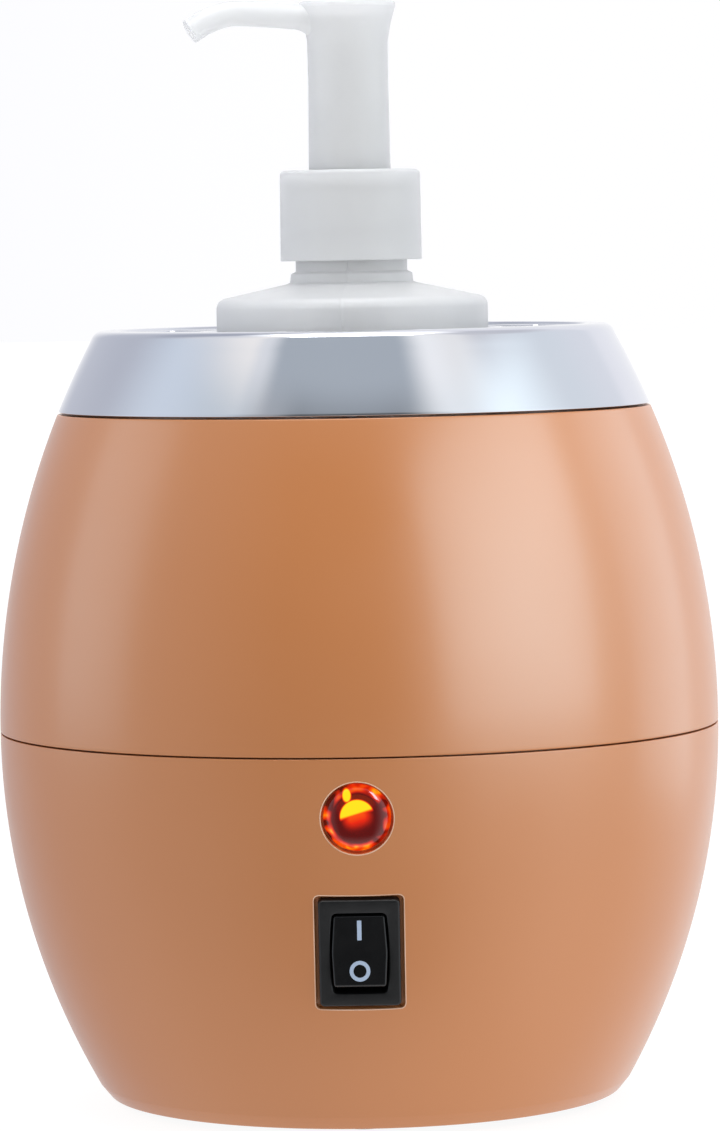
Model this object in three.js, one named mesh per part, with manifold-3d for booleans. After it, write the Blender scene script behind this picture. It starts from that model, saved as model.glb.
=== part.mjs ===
// An electric warmer that holds one pump bottle of sauce or oil in a heated cup inside a barrel-shaped
// housing. Millimetres, +Z up. The origin is on the housing's axis at the bottom of the rubber feet, and
// the front, with the pilot light and the rocker switch, faces -Y.
import * as THREE from "three";
import { mergeVertices } from "three/addons/utils/BufferGeometryUtils.js";
import Module from "manifold-3d";

const wasm = await Module();
wasm.setup();

// Driving dimensions, in millimetres and degrees.
const GAP = 0.3;

const FOOT_PROUD = 1.5;
const WAIST_R = 70;
const WAIST_Z = 73;
const UPPER_ARC_R = 159.5;
const LOWER_ARC_R = 141;
const WALL = 2.6;
const DECK_TOP_Z = 134.5;
const DECK_T = 2.5;
const RING_BOTTOM_Z = 134.9;
const RING_TOP_Z = 150.5;
const RING_WALL = 2.4;
const BOTTLE_HOLE_R = 28.4;

const VENTS = 8;
const VENT_IN_R = 36;
const VENT_OUT_R = 44;
const VENT_SPAN = 23;

const POST_AT = 40;
const POST_R = 4;
const POST_BOTTOM_Z = 7.5;
const PLATE_R = 47.5;
const PLATE_Z = [2.6, 5];
const FOOT_AT = 36;
const SCREW_SEAT_Z = 4.6;

const CUP_IN_R = 27.4;
const CUP_WALL = 1.5;
const CUP_FLOOR_Z = 29.2;
const CUP_FLANGE_R = 34.8;
const CUP_SCREW_AT = 32;
const RING_SCREW_AT = 48;
const HEATER_Z = [42, 108];
const THERMOSTAT_SCREW_AT = 12;

const LIGHT_Z = 61.9;
const LIGHT_RECESS = 2.2;
const LENS_R = 6;
const DOME_HEIGHT = 1.65;
const SWITCH_Z = 36.5;
const BEZEL = [15, 21];
const BEZEL_T = 2;
const SWITCH_OPENING = [10.6, 16.2];
const SWITCH_BODY = [12.8, 18.8];
const SWITCH_DEPTH = 15.2;
const RECESS = [16.8, 22.7];
const RECESS_DEPTH = 2.4;
const ROCKER_W = 10;
const ROCKER_R = 7.65;
const ROCKER_PIVOT = -2.2;
const ROCKER_TILT = 11;
const LEVER_PIVOT = -9.9;
const LEVER_TILT = 8;
const BLADE_END = -23;
const LOAD_BLADE_AT = -6.3;

const GLAND_Z = 16;
const GLAND_FACE_Y = 56;
const GLAND_BORE_R = 3.5;
const LEAD_R = 0.85;

const BOTTLE_R = 26.4;
const NECK_R = 10.8;
const NECK_BORE_R = 9.9;
const NECK_TOP_Z = 176.5;
const THREAD_PITCH = 3.175;
const THREAD_Z = 168;
const CLOSURE_R = 13.75;
const CLOSURE_Z = [163.4, 180.9];
const SKIRT_R = 7.98;
const SKIRT_BOTTOM_Z = 178.2;
const HEAD_R = 9.4;
const HEAD_TOP_Z = 213;
const STEM_R = 3;
const CYLINDER_R = 5.2;
const SPOUT_R = 2.42;
const SPOUT_BORE_R = 1.5;
const SPOUT_TURN = 16;
const SPRING_Z = [122.1, 142.9];

const FINE = 36;
const MEDIUM = 24;
const ROUND = 16;
const SMALL = 12;
const TINY = 8;

const CARAMEL = { color: 0xc08050, roughness: 0.22, metalness: 0 };
const CHROME = { color: 0xd8dade, roughness: 0.06, metalness: 1 };
const ALUMINIUM = { color: 0xb9bcc0, roughness: 0.35, metalness: 1 };
const STEEL = { color: 0xa9abad, roughness: 0.3, metalness: 1 };
const BRASS = { color: 0xc8a45a, roughness: 0.35, metalness: 1 };
const MILKY = { color: 0xe6e7e9, roughness: 0.4, metalness: 0 };
const BLACK = { color: 0x17181a, roughness: 0.45, metalness: 0 };
const RUBBER = { color: 0x202020, roughness: 0.9, metalness: 0 };
const RED_LENS = { color: 0xd81408, roughness: 0.08, metalness: 0 };
const GLASS = { color: 0xf0c090, roughness: 0.05, metalness: 0 };
const HEATER = { color: 0xb4502c, roughness: 0.7, metalness: 0 };
const FELT = { color: 0xd9d4c6, roughness: 0.95, metalness: 0 };
const CERAMIC = { color: 0xe8e4da, roughness: 0.5, metalness: 0 };
const LEAD = { color: 0x8f2f22, roughness: 0.55, metalness: 0 };

const radians = THREE.MathUtils.degToRad;
const sine = (degrees) => Math.sin(radians(degrees));
const cosine = (degrees) => Math.cos(radians(degrees));

// --- Shapes -------------------------------------------------------------------------------------

function solid(geometry) {
  const bare = new THREE.BufferGeometry().setAttribute("position", geometry.getAttribute("position"));
  const merged = mergeVertices(bare.setIndex(geometry.index), 1e-3);
  return new wasm.Manifold(
    new wasm.Mesh({
      numProp: 3,
      vertProperties: new Float32Array(merged.attributes.position.array),
      triVerts: new Uint32Array(merged.index.array),
    }),
  );
}

function geometryOf(made) {
  const mesh = made.getMesh();
  const geometry = new THREE.BufferGeometry();
  geometry.setAttribute("position", new THREE.BufferAttribute(mesh.vertProperties, 3));
  geometry.setIndex(new THREE.BufferAttribute(mesh.triVerts, 1));
  return geometry;
}

function join(first, ...others) {
  return geometryOf(others.reduce((whole, piece) => whole.add(solid(piece)), solid(first)));
}

function cut(first, ...others) {
  return geometryOf(others.reduce((whole, piece) => whole.subtract(solid(piece)), solid(first)));
}

// A profile of [radius, height] points turned about the Z axis.
function turned(profile, segments = SMALL) {
  const points = profile.map(([r, z]) => new THREE.Vector2(r, z));
  const closes = profile[0][0] > 0 || profile.at(-1)[0] > 0;
  if (closes) points.push(points[0].clone());
  if (THREE.ShapeUtils.area(points) < 0) points.reverse();
  return new THREE.LatheGeometry(points, segments).rotateX(Math.PI / 2);
}

function rod(radius, z0, z1, segments = SMALL) {
  return turned([[0, z0], [radius, z0], [radius, z1], [0, z1]], segments);
}

function ring(inner, outer, z0, z1, segments = SMALL) {
  return turned([[inner, z0], [outer, z0], [outer, z1], [inner, z1]], segments);
}

function box(x, y, z) {
  const size = [x[1] - x[0], y[1] - y[0], z[1] - z[0]];
  return new THREE.BoxGeometry(...size).translate((x[0] + x[1]) / 2, (y[0] + y[1]) / 2, (z[0] + z[1]) / 2);
}

function extruded(shape, z0, z1, curveSegments = 6) {
  const options = { depth: z1 - z0, bevelEnabled: false, curveSegments };
  return new THREE.ExtrudeGeometry(shape, options).translate(0, 0, z0);
}

function roundedBlock([width, height], radius, z0, z1) {
  const [x, y] = [width / 2, height / 2];
  const shape = new THREE.Shape();
  shape.absarc(x - radius, y - radius, radius, 0, Math.PI / 2);
  shape.absarc(radius - x, y - radius, radius, Math.PI / 2, Math.PI);
  shape.absarc(radius - x, radius - y, radius, Math.PI, 1.5 * Math.PI);
  shape.absarc(x - radius, radius - y, radius, 1.5 * Math.PI, 2 * Math.PI);
  return extruded(shape, z0, z1, 1);
}

// A block over part of a ring, centred on an angle in degrees.
function sector(inner, outer, centre, span, z0, z1, curveSegments = 2) {
  const [from, to] = [radians(centre - span / 2), radians(centre + span / 2)];
  const shape = new THREE.Shape();
  shape.absarc(0, 0, outer, from, to, false);
  shape.absarc(0, 0, inner, to, from, true);
  return extruded(shape, z0, z1, curveSegments);
}

function circle(radius) {
  return new THREE.Shape().absarc(0, 0, radius, 0, 2 * Math.PI);
}

function tube(curve, radius, sides, steps) {
  const options = { steps, curveSegments: sides / 2, extrudePath: curve };
  return new THREE.ExtrudeGeometry(circle(radius), options);
}

function throughPoints(points) {
  return new THREE.CatmullRomCurve3(points.map((p) => new THREE.Vector3(...p)), false, "centripetal");
}

class Helix extends THREE.Curve {
  constructor(radius, pitch, z0, firstTurn, lastTurn) {
    super();
    Object.assign(this, { radius, pitch, z0, firstTurn, lastTurn });
  }

  getPoint(t, target = new THREE.Vector3()) {
    const turn = this.firstTurn + t * (this.lastTurn - this.firstTurn);
    const angle = 2 * Math.PI * turn;
    return target.set(
      this.radius * Math.cos(angle),
      this.radius * Math.sin(angle),
      this.z0 + this.pitch * turn,
    );
  }
}

// Copies of a shape made on the +X side, one at each angle in degrees.
function around(angles, make) {
  return angles.map((angle) => make().rotateZ(radians(angle)));
}

function steps(count, first = 0, turn = 360) {
  return Array.from({ length: count }, (_, i) => first + (turn * i) / count);
}

const object = new THREE.Group();

function add(name, geometry, finish, parent = object) {
  const flat = geometry.index ? geometry.toNonIndexed() : geometry;
  flat.computeVertexNormals();
  const mesh = new THREE.Mesh(flat, new THREE.MeshStandardMaterial(finish));
  mesh.name = name;
  parent.add(mesh);
  return mesh;
}

// --- The barrel ---------------------------------------------------------------------------------

// The barrel's outside is two arcs that meet upright at the waist.
function barrelR(z) {
  const arc = z > WAIST_Z ? UPPER_ARC_R : LOWER_ARC_R;
  return WAIST_R - arc + Math.sqrt(arc ** 2 - (z - WAIST_Z) ** 2);
}

function barrelLine(z0, z1, inset, count) {
  return Array.from({ length: count + 1 }, (_, i) => {
    const z = z0 + ((z1 - z0) * i) / count;
    return [barrelR(z) - inset, z];
  });
}

// The frame of a panel at a height on the barrel's front: X across, Y up the surface, Z out of it.
function frontPanel(z) {
  const tilt = Math.asin((WAIST_Z - z) / LOWER_ARC_R);
  const panel = new THREE.Group();
  panel.position.set(0, -barrelR(z), z);
  panel.rotation.x = Math.PI / 2 + tilt;
  panel.updateMatrix();
  return panel;
}

const lightPanel = frontPanel(LIGHT_Z);
const switchPanel = frontPanel(SWITCH_Z);
const gland = new THREE.Group();
gland.position.set(0, GLAND_FACE_Y, GLAND_Z);
gland.rotation.x = -Math.PI / 2;
gland.updateMatrix();
object.add(lightPanel, switchPanel, gland);

const onPanel = (panel, geometry) => geometry.applyMatrix4(panel.matrix);

const POST_ANGLES = steps(4, 45);
const FOOT_ANGLES = steps(4);
const CUP_SCREW_ANGLES = steps(3, 90);
const RING_SCREW_ANGLES = steps(3, 30);
const VENT_ANGLES = steps(VENTS, 22.5);

function vents(z0, z1) {
  return VENT_ANGLES.map((angle) => sector(VENT_IN_R, VENT_OUT_R, angle, VENT_SPAN, z0, z1));
}

function upperHousing() {
  const deckBottom = DECK_TOP_Z - DECK_T;
  const seam = WAIST_Z + GAP / 2;
  const cupHole = CUP_IN_R + CUP_WALL + 0.8;
  const shell = turned(
    [
      [WAIST_R - 0.35, seam],
      ...barrelLine(seam + 0.35, DECK_TOP_Z, 0, 6),
      [cupHole, DECK_TOP_Z],
      [cupHole, deckBottom],
      ...barrelLine(deckBottom, seam, WALL, 4),
    ],
    FINE,
  );
  const posts = around(POST_ANGLES, () =>
    rod(POST_R, POST_BOTTOM_Z, deckBottom + 1, TINY).translate(POST_AT, 0, 0));
  const pilots = around(POST_ANGLES, () =>
    rod(1.8, POST_BOTTOM_Z - 1, 19, TINY).translate(POST_AT, 0, 0));
  const cupHoles = around(CUP_SCREW_ANGLES, () =>
    rod(1.5, deckBottom - 1, DECK_TOP_Z + 1, TINY).translate(CUP_SCREW_AT, 0, 0));
  const ringHoles = around(RING_SCREW_ANGLES, () =>
    rod(1.7, deckBottom - 1, DECK_TOP_Z + 1, TINY).translate(RING_SCREW_AT, 0, 0));
  const openings = vents(deckBottom - 1, DECK_TOP_Z + 1);
  return cut(join(shell, ...posts), ...pilots, ...cupHoles, ...ringHoles, ...openings);
}

// The lower shell has a lip that centres the upper one, a ledge over the base plate, a pad behind the
// switch and a flat round pad for the cord gland.
function lowerHousing() {
  const seam = WAIST_Z - GAP / 2;
  const lipR = WAIST_R - WALL - GAP - 0.05;
  const shell = turned(
    [
      [49.7, FOOT_PROUD],
      [50.5, FOOT_PROUD + 0.5],
      ...barrelLine(FOOT_PROUD + 1.5, seam - 0.35, 0, 7),
      [WAIST_R - 0.35, seam],
      [lipR, seam],
      [lipR, seam + 3],
      [lipR - 1.5, seam + 3],
      [lipR - 1.5, seam - 1.4],
      ...barrelLine(seam - 3, 8, WALL, 5),
      [45.4, 7.6],
      [45.4, PLATE_Z[1] + GAP],
      [PLATE_R + GAP, PLATE_Z[1] + GAP],
      [PLATE_R + GAP, FOOT_PROUD],
    ],
    FINE,
  );
  const switchPad = onPanel(switchPanel, box([-10.5, 10.5], [-14, 14], [-5.4, -1.9]));
  const lightPad = onPanel(lightPanel, rod(9, -LIGHT_RECESS - 1.8, -1.2, ROUND));
  const glandPad = onPanel(gland, rod(8.5, -3.5, 0, ROUND));
  return cut(
    join(shell, switchPad, lightPad, glandPad),
    onPanel(switchPanel, roundedBlock(RECESS, 1, -RECESS_DEPTH, 6)),
    onPanel(switchPanel, box([-6.8, 6.8], [-9.8, 9.8], [-9, 1])),
    onPanel(lightPanel, rod(LENS_R + 0.9, -LIGHT_RECESS, 6, ROUND)),
    onPanel(lightPanel, rod(4.5, -8, 1, SMALL)),
    onPanel(gland, rod(8.5, 0, 12, ROUND)),
    onPanel(gland, rod(5, -8, 1, SMALL)),
  );
}

function basePlate() {
  const below = PLATE_Z[0] - 1;
  const above = PLATE_Z[1] + 4;
  const screwBosses = around(POST_ANGLES, () =>
    rod(4.2, PLATE_Z[0], POST_BOTTOM_Z - GAP, TINY).translate(POST_AT, 0, 0));
  const screwHoles = around(POST_ANGLES, () => rod(1.9, below, above, TINY).translate(POST_AT, 0, 0));
  const headHoles = around(POST_ANGLES, () =>
    rod(3.4, below, SCREW_SEAT_Z + GAP, TINY).translate(POST_AT, 0, 0));
  const footHoles = around(FOOT_ANGLES, () => rod(2.4, below, above, TINY).translate(FOOT_AT, 0, 0));
  const slots = around(steps(8, 22.5), () => box([20, 34], [-1.3, 1.3], [below, above]));
  return cut(
    join(rod(PLATE_R, PLATE_Z[0], PLATE_Z[1], FINE), ...screwBosses),
    ...screwHoles,
    ...headHoles,
    ...footHoles,
    ...slots,
  );
}

// A rubber foot with a bulb that is pushed through the base plate.
function foot() {
  const top = PLATE_Z[0] - GAP;
  const bulb = PLATE_Z[1] + GAP;
  return turned(
    [[0, 0], [5.4, 0], [6, 0.6], [6, top], [2.05, top], [2.05, bulb], [2.9, bulb], [1.6, bulb + 1.8],
      [0, bulb + 1.8]],
    TINY,
  ).translate(FOOT_AT, 0, 0);
}

// A pan-head screw with its head below the origin and its shank going up.
function screw(headR, headT, shankR, length) {
  return turned(
    [[0, -headT], [headR * 0.75, -headT], [headR, -headT * 0.6], [headR, 0], [shankR, 0],
      [shankR, length - shankR], [0, length]],
    TINY,
  );
}

function addHousing() {
  add("upper_housing", upperHousing(), CARAMEL);
  add("lower_housing", lowerHousing(), CARAMEL);
  add("base_plate", basePlate(), BLACK);
  FOOT_ANGLES.forEach((angle, i) => {
    add(`rubber_foot_${i + 1}`, foot().rotateZ(radians(angle)), RUBBER);
  });
  POST_ANGLES.forEach((angle, i) => {
    const made = screw(2.9, 1.6, 1.5, 12).translate(POST_AT, 0, SCREW_SEAT_Z);
    add(`base_screw_${i + 1}`, made.rotateZ(radians(angle)), STEEL);
  });
}

// --- The plated ring ----------------------------------------------------------------------------

function topRing() {
  const plateBottom = RING_TOP_Z - 2.9;
  const band = turned(
    [
      ...barrelLine(RING_BOTTOM_Z, 148.2, 0, 3),
      [49.6, 149.6],
      [48.5, 150.3],
      [47.2, RING_TOP_Z],
      [45.7, RING_TOP_Z],
      [45.2, RING_TOP_Z - 0.5],
      [BOTTLE_HOLE_R + 0.8, RING_TOP_Z - 0.5],
      [BOTTLE_HOLE_R, RING_TOP_Z - 1.3],
      [BOTTLE_HOLE_R, 138.5],
      [BOTTLE_HOLE_R + 1.8, 138.5],
      [BOTTLE_HOLE_R + 1.8, plateBottom],
      [46.4, plateBottom],
      ...barrelLine(146, RING_BOTTOM_Z, RING_WALL, 2),
    ],
    FINE,
  );
  const bosses = around(RING_SCREW_ANGLES, () =>
    rod(3, DECK_TOP_Z + GAP, plateBottom + 1, TINY).translate(RING_SCREW_AT, 0, 0));
  const pilots = around(RING_SCREW_ANGLES, () =>
    rod(1.6, DECK_TOP_Z - 1, 144, TINY).translate(RING_SCREW_AT, 0, 0));
  return cut(join(band, ...bosses), ...pilots, ...vents(plateBottom - 1, RING_TOP_Z + 1));
}

function addRing() {
  add("top_ring", topRing(), CHROME);
  RING_SCREW_ANGLES.forEach((angle, i) => {
    const made = screw(2.8, 1.7, 1.3, 10).translate(RING_SCREW_AT, 0, DECK_TOP_Z - DECK_T - GAP);
    add(`ring_screw_${i + 1}`, made.rotateZ(radians(angle)), STEEL);
  });
}

// --- The heated cup and its wiring --------------------------------------------------------------

function heatingCup() {
  const outer = CUP_IN_R + CUP_WALL;
  const floorBottom = CUP_FLOOR_Z - 2;
  const flangeBottom = DECK_TOP_Z + GAP;
  const flangeTop = flangeBottom + 1.2;
  const cup = turned(
    [
      [0, floorBottom],
      [outer - 0.8, floorBottom],
      [outer, floorBottom + 0.8],
      [outer, flangeBottom],
      [CUP_FLANGE_R, flangeBottom],
      [CUP_FLANGE_R, flangeTop],
      [CUP_IN_R, flangeTop],
      [CUP_IN_R, CUP_FLOOR_Z + 0.8],
      [CUP_IN_R - 0.8, CUP_FLOOR_Z],
      [0, CUP_FLOOR_Z],
    ],
    MEDIUM,
  );
  const bosses = around([0, 180], () =>
    rod(2.6, floorBottom - 2.3, floorBottom + 0.5, TINY).translate(THERMOSTAT_SCREW_AT, 0, 0));
  const pilots = around([0, 180], () =>
    rod(1.4, floorBottom - 3, floorBottom - 0.2, TINY).translate(THERMOSTAT_SCREW_AT, 0, 0));
  const flangeHoles = around(CUP_SCREW_ANGLES, () =>
    rod(1.5, flangeBottom - 1, flangeTop + 1, TINY).translate(CUP_SCREW_AT, 0, 0));
  return cut(join(cup, ...bosses), ...pilots, ...flangeHoles);
}

// A snap-disc thermostat whose cap bears on the underside of the cup's floor.
function thermostat() {
  const body = rod(7.6, 14.5, 26.9, SMALL);
  const flange = box([-15.5, 15.5], [-4.2, 4.2], [23.7, 24.6]);
  const tabs = [box([5, 14], [-3.1, 3.1], [14.9, 15.7]), box([-14, -5], [-3.1, 3.1], [14.9, 15.7])];
  const holes = around([0, 180], () => rod(1.6, 23, 25, TINY).translate(THERMOSTAT_SCREW_AT, 0, 0));
  return cut(join(body, flange, ...tabs), ...holes);
}

function terminalBlock() {
  const body = box([-12, 12], [20, 31], [PLATE_Z[1] + GAP, 16]);
  const ways = [-7.5, 0, 7.5].map((x) =>
    rod(1.5, 19, 32, TINY).rotateX(-Math.PI / 2).translate(x, 0, 10));
  const screwWells = [-7.5, 0, 7.5].map((x) => rod(1.4, 12.5, 17, TINY).translate(x, 25.5, 0));
  return cut(body, ...ways, ...screwWells);
}

function addHeating() {
  add("heating_cup", heatingCup(), ALUMINIUM);
  CUP_SCREW_ANGLES.forEach((angle, i) => {
    const top = DECK_TOP_Z + 2 * GAP + 1.2;
    const made = screw(2.2, 1.4, 1.2, 5).rotateX(Math.PI).translate(CUP_SCREW_AT, 0, top);
    add(`cup_screw_${i + 1}`, made.rotateZ(radians(angle)), STEEL);
  });
  add("heater_band", sector(29.2, 30.7, 270, 344, ...HEATER_Z, 15), HEATER);
  add("insulation_sleeve", ring(31.2, 34.5, ...HEATER_Z, MEDIUM), FELT);
  add("thermostat", thermostat(), BLACK);
  [0, 180].forEach((angle, i) => {
    const made = screw(2.3, 1.4, 1.1, 2.9).translate(THERMOSTAT_SCREW_AT, 0, 23.4);
    add(`thermostat_screw_${i + 1}`, made.rotateZ(radians(angle)), STEEL);
  });
  add("thermal_fuse", rod(2, 28, 38, TINY).translate(31.5 * cosine(120), 31.5 * sine(120), 0), BRASS);
  add("terminal_block", terminalBlock(), CERAMIC);
}

// The inner leads run from the terminal block through the switch, the thermostat, the fuse and the
// heater and back, with the pilot light across them.
const LEADS = {
  lead_live_in: [
    [-7.5, 19.6, 10], [-9, 15, 9.2], [-20, 6, 9], [-24, -12, 10], [-10, -30, 22], [-2, -37.6, 40],
    [0, -42.2, 42.6],
  ],
  lead_switched: [
    [0, -40.7, 36.2], [1, -38.4, 35.3], [14, -28, 22], [20, -12, 15.8], [17.5, -1, 15.3], [14.5, 0, 15.3],
  ],
  lead_to_fuse: [
    [-14.6, 0, 15.3], [-17.5, 1, 15.4], [-22, 15, 19], [-16.4, 26.8, 25.2], [-15.75, 27.28, 27.5],
  ],
  lead_to_heater: [
    [-15.75, 27.28, 38.5], [-15.4, 27.7, 39.6], [-11.4, 28.9, 39.9], [-8.1, 28.95, 40.2],
    [-8, 28.95, 41.4],
  ],
  lead_neutral: [
    [8, 28.95, 41.3], [8.3, 29.2, 39.8], [10.4, 30.4, 36], [17, 25, 24], [16, 14, 13], [10, 11, 10.4],
    [7.5, 15, 10], [7.5, 19.6, 10],
  ],
  lead_pilot_live: [
    [1.6, -50.5, 63.4], [2.6, -47.4, 61], [7, -42, 50], [8, -41.5, 41], [6.4, -42, 37], [2.8, -42.4, 36],
  ],
  lead_pilot_neutral: [
    [-1.6, -50.5, 63.4], [-3, -46.6, 61], [-14, -41, 48], [-21, -37, 30], [-17, -29, 10], [-8, -14, 8.6],
    [-2.5, 4, 8.6], [0, 13, 9.5], [0, 19.6, 10],
  ],
};

function addLeads() {
  for (const [name, points] of Object.entries(LEADS)) {
    add(name, tube(throughPoints(points), LEAD_R, 8, 2 * points.length), LEAD);
  }
}

function addGland() {
  const made = turned(
    [[GLAND_BORE_R, -7], [6, -7], [6, -3.8], [4.7, -3.8], [4.7, GAP], [6.6, GAP], [6.6, 1.9], [6.2, 2.3],
      [GLAND_BORE_R, 2.3]],
    SMALL,
  );
  add("cord_gland", made, RUBBER, gland);
}

// --- The pilot light ----------------------------------------------------------------------------

// A hollow dome with a flange that sits in the recess and a shank that goes through the wall.
function lens() {
  const seat = GAP - LIGHT_RECESS;
  const rim = seat + 0.6;
  const dome = [0, 25, 50, 70].map((a) => [5.7 * cosine(a), rim + DOME_HEIGHT * sine(a)]);
  return turned(
    [[3.3, -7.2], [4.1, -7.2], [4.1, seat], [LENS_R, seat], [LENS_R, rim - 0.1], ...dome,
      [0, rim + DOME_HEIGHT], [0, rim + 0.6], [2.5, rim + 0.4], [3.3, rim - 0.4]],
    ROUND,
  );
}

function addPilotLight() {
  add("indicator_lens", lens(), RED_LENS, lightPanel);
  add("indicator_nut", ring(4.4, 6.6, -6.6, -4.4), BLACK, lightPanel);
  const holder = cut(rod(4.1, -18.2, -7.5), rod(2.4, -12.2, -6));
  add("indicator_holder", holder, BLACK, lightPanel);
  add("neon_bulb", turned([[0, -11.9], [2, -11.9], [2, -2.6], [1.4, -1.6], [0, -1.2]]), GLASS, lightPanel);
}

// --- The rocker switch --------------------------------------------------------------------------

// Stands a profile drawn in the switch's Y-Z plane across its X axis.
function across(shape, width, curveSegments = 6) {
  const upright = new THREE.Matrix4().makeBasis(
    new THREE.Vector3(0, 1, 0),
    new THREE.Vector3(0, 0, 1),
    new THREE.Vector3(1, 0, 0),
  );
  return extruded(shape, -width / 2, width / 2, curveSegments).applyMatrix4(upright);
}

// Turns a piece of the switch about a line across it, at a depth below the barrel's surface.
function tipped(geometry, degrees, depth) {
  return geometry.translate(0, 0, -depth).rotateX(radians(degrees)).translate(0, 0, depth);
}

function switchBody() {
  const front = GAP - RECESS_DEPTH;
  const bezel = roundedBlock(BEZEL, 1, front, front + BEZEL_T);
  const [w, h] = SWITCH_BODY;
  const body = box([-w / 2, w / 2], [-h / 2, h / 2], [-SWITCH_DEPTH, front + 0.5]);
  const [ow, oh] = SWITCH_OPENING;
  const cavity = box([-ow / 2, ow / 2], [-oh / 2, oh / 2], [1.5 - SWITCH_DEPTH, 2]);
  const pivots = rod(1.25, -6.1, 6.1, TINY).rotateY(Math.PI / 2).translate(0, 0, ROCKER_PIVOT);
  const slots = [0, LOAD_BLADE_AT].map((y) =>
    box([-2.75, 2.75], [y - 0.75, y + 0.75], [-SWITCH_DEPTH - 1, 2 - SWITCH_DEPTH]));
  return cut(join(bezel, body), cavity, pivots, ...slots);
}

function rocker() {
  const top = 27.2;
  const skirt = 25;
  const shape = new THREE.Shape();
  shape.absarc(0, ROCKER_PIVOT, ROCKER_R, radians(-skirt), radians(top));
  shape.lineTo(0, 0.7);
  shape.absarc(0, ROCKER_PIVOT, ROCKER_R, radians(180 - top), radians(180 + skirt));
  shape.lineTo(-4.5, -4.6);
  shape.lineTo(-1.8, -5.6);
  shape.lineTo(1.8, -5.6);
  shape.lineTo(4.5, -4.6);
  const pins = rod(0.9, -5.9, 5.9, TINY).rotateY(Math.PI / 2).translate(0, 0, ROCKER_PIVOT);
  const bore = rod(1.5, -6.5, -1.2, TINY);
  return cut(join(across(shape, ROCKER_W), pins), bore);
}

function commonTerminal() {
  const blade = box([-2.4, 2.4], [-0.4, 0.4], [BLADE_END, -11]);
  return join(blade, box([-2, 2], [-0.5, 0.5], [-11.5, -10.2]));
}

function loadTerminal() {
  const blade = box([-2.4, 2.4], [LOAD_BLADE_AT - 0.4, LOAD_BLADE_AT + 0.4], [BLADE_END, -11]);
  return join(blade, box([-2, 2], [LOAD_BLADE_AT - 0.3, -3.8], [-11.8, -11]));
}

function addSwitch() {
  const inSwitch = (name, geometry, finish) => add(name, geometry, finish, switchPanel);
  inSwitch("switch_body", switchBody(), BLACK);
  inSwitch("rocker", tipped(rocker(), -ROCKER_TILT, ROCKER_PIVOT), BLACK);
  const plunger = turned([[0, -8.7], [0.6, -8.6], [1.2, -8], [1.2, -4.2], [0, -4.2]], TINY);
  inSwitch("rocker_plunger", tipped(plunger, -ROCKER_TILT, ROCKER_PIVOT), CERAMIC);
  const coil = tube(new Helix(0.95, 0.7, -3.8, 0, 3), 0.16, 4, 24);
  inSwitch("plunger_spring", tipped(coil, -ROCKER_TILT, ROCKER_PIVOT), STEEL);
  const lever = box([-1.6, 1.6], [-5.2, 5.2], [LEVER_PIVOT + 0.3, LEVER_PIVOT + 0.9]);
  inSwitch("contact_lever", tipped(lever, LEVER_TILT, LEVER_PIVOT), BRASS);
  inSwitch("common_terminal", commonTerminal(), BRASS);
  inSwitch("load_terminal", loadTerminal(), BRASS);
}

// --- The bottle and its closure -----------------------------------------------------------------

function bottle() {
  const body = turned(
    [
      [0, 31], [18, 31], [21, 29.6], [24.2, 29.6], [BOTTLE_R, 31.8],
      [BOTTLE_R, 153.7], [26.1, 155], [25.5, 155.8], [24.6, 156.2], [12.2, 158.9],
      [11.8, 159.2], [11.8, 161], [NECK_R, 161.3], [NECK_R, NECK_TOP_Z],
      [NECK_BORE_R, NECK_TOP_Z], [NECK_BORE_R, 159.6], [11, 157.8], [24.1, 155],
      [25.3, 153.4], [25.3, 32.6], [23.8, 30.9], [21.4, 30.9], [18.2, 32.2], [0, 32.2],
    ],
    MEDIUM,
  );
  const thread = tube(new Helix(NECK_R + 0.1, THREAD_PITCH, THREAD_Z, 0, 1.5), 0.8, 6, 24);
  return join(body, thread);
}

function closure() {
  const [bottom, top] = CLOSURE_Z;
  const inner = CLOSURE_R - 1.35;
  const hole = SKIRT_R + 0.5;
  const cap = turned(
    [[inner, bottom], [CLOSURE_R, bottom], [CLOSURE_R - 0.15, top - 0.9], [13.3, top - 0.25], [12.6, top],
      [hole, top], [hole, top - 1.4], [inner, top - 1.4]],
    MEDIUM,
  );
  const helix = new Helix(inner - 0.25, THREAD_PITCH, THREAD_Z + THREAD_PITCH / 2, -1.13, 0.37);
  return join(cap, tube(helix, 0.7, 6, 24));
}

// --- The pump -----------------------------------------------------------------------------------

// The pump's body: a flange over the neck, an annular well that the head's skirt sinks into, the
// cylinder, the inlet valve's seat and the socket for the dip tube.
function pumpHousing() {
  return turned(
    [
      [2.8, 104], [3.8, 104], [3.8, 115.5], [6.3, 119.5], [6.3, 163.5], [9.5, 164.5],
      [9.5, 177.9], [11.9, 177.9], [11.9, 179.1], [8.6, 179.1], [8.6, 165.5], [CYLINDER_R, 165.5],
      [CYLINDER_R, 120], [2.4, 120], [2.4, 115.2], [1.3, 113.6], [1.3, 112.3], [2.8, 112.3],
    ],
    SMALL,
  );
}

function collar() {
  return turned(
    [[5.4, 165.9], [6.8, 165.9], [6.8, 194.5], [CYLINDER_R, 194.5], [CYLINDER_R, 183], [STEM_R + 0.4, 183],
      [STEM_R + 0.4, 180.8], [5.4, 180.8]],
    SMALL,
  );
}

function dipTube() {
  const slant = box([-6, 6], [-6, 6], [-8, 0]).rotateY(radians(35)).translate(0, 0, 34.6);
  return cut(ring(1.7, 2.5, 33.5, 112, TINY), slant);
}

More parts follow.
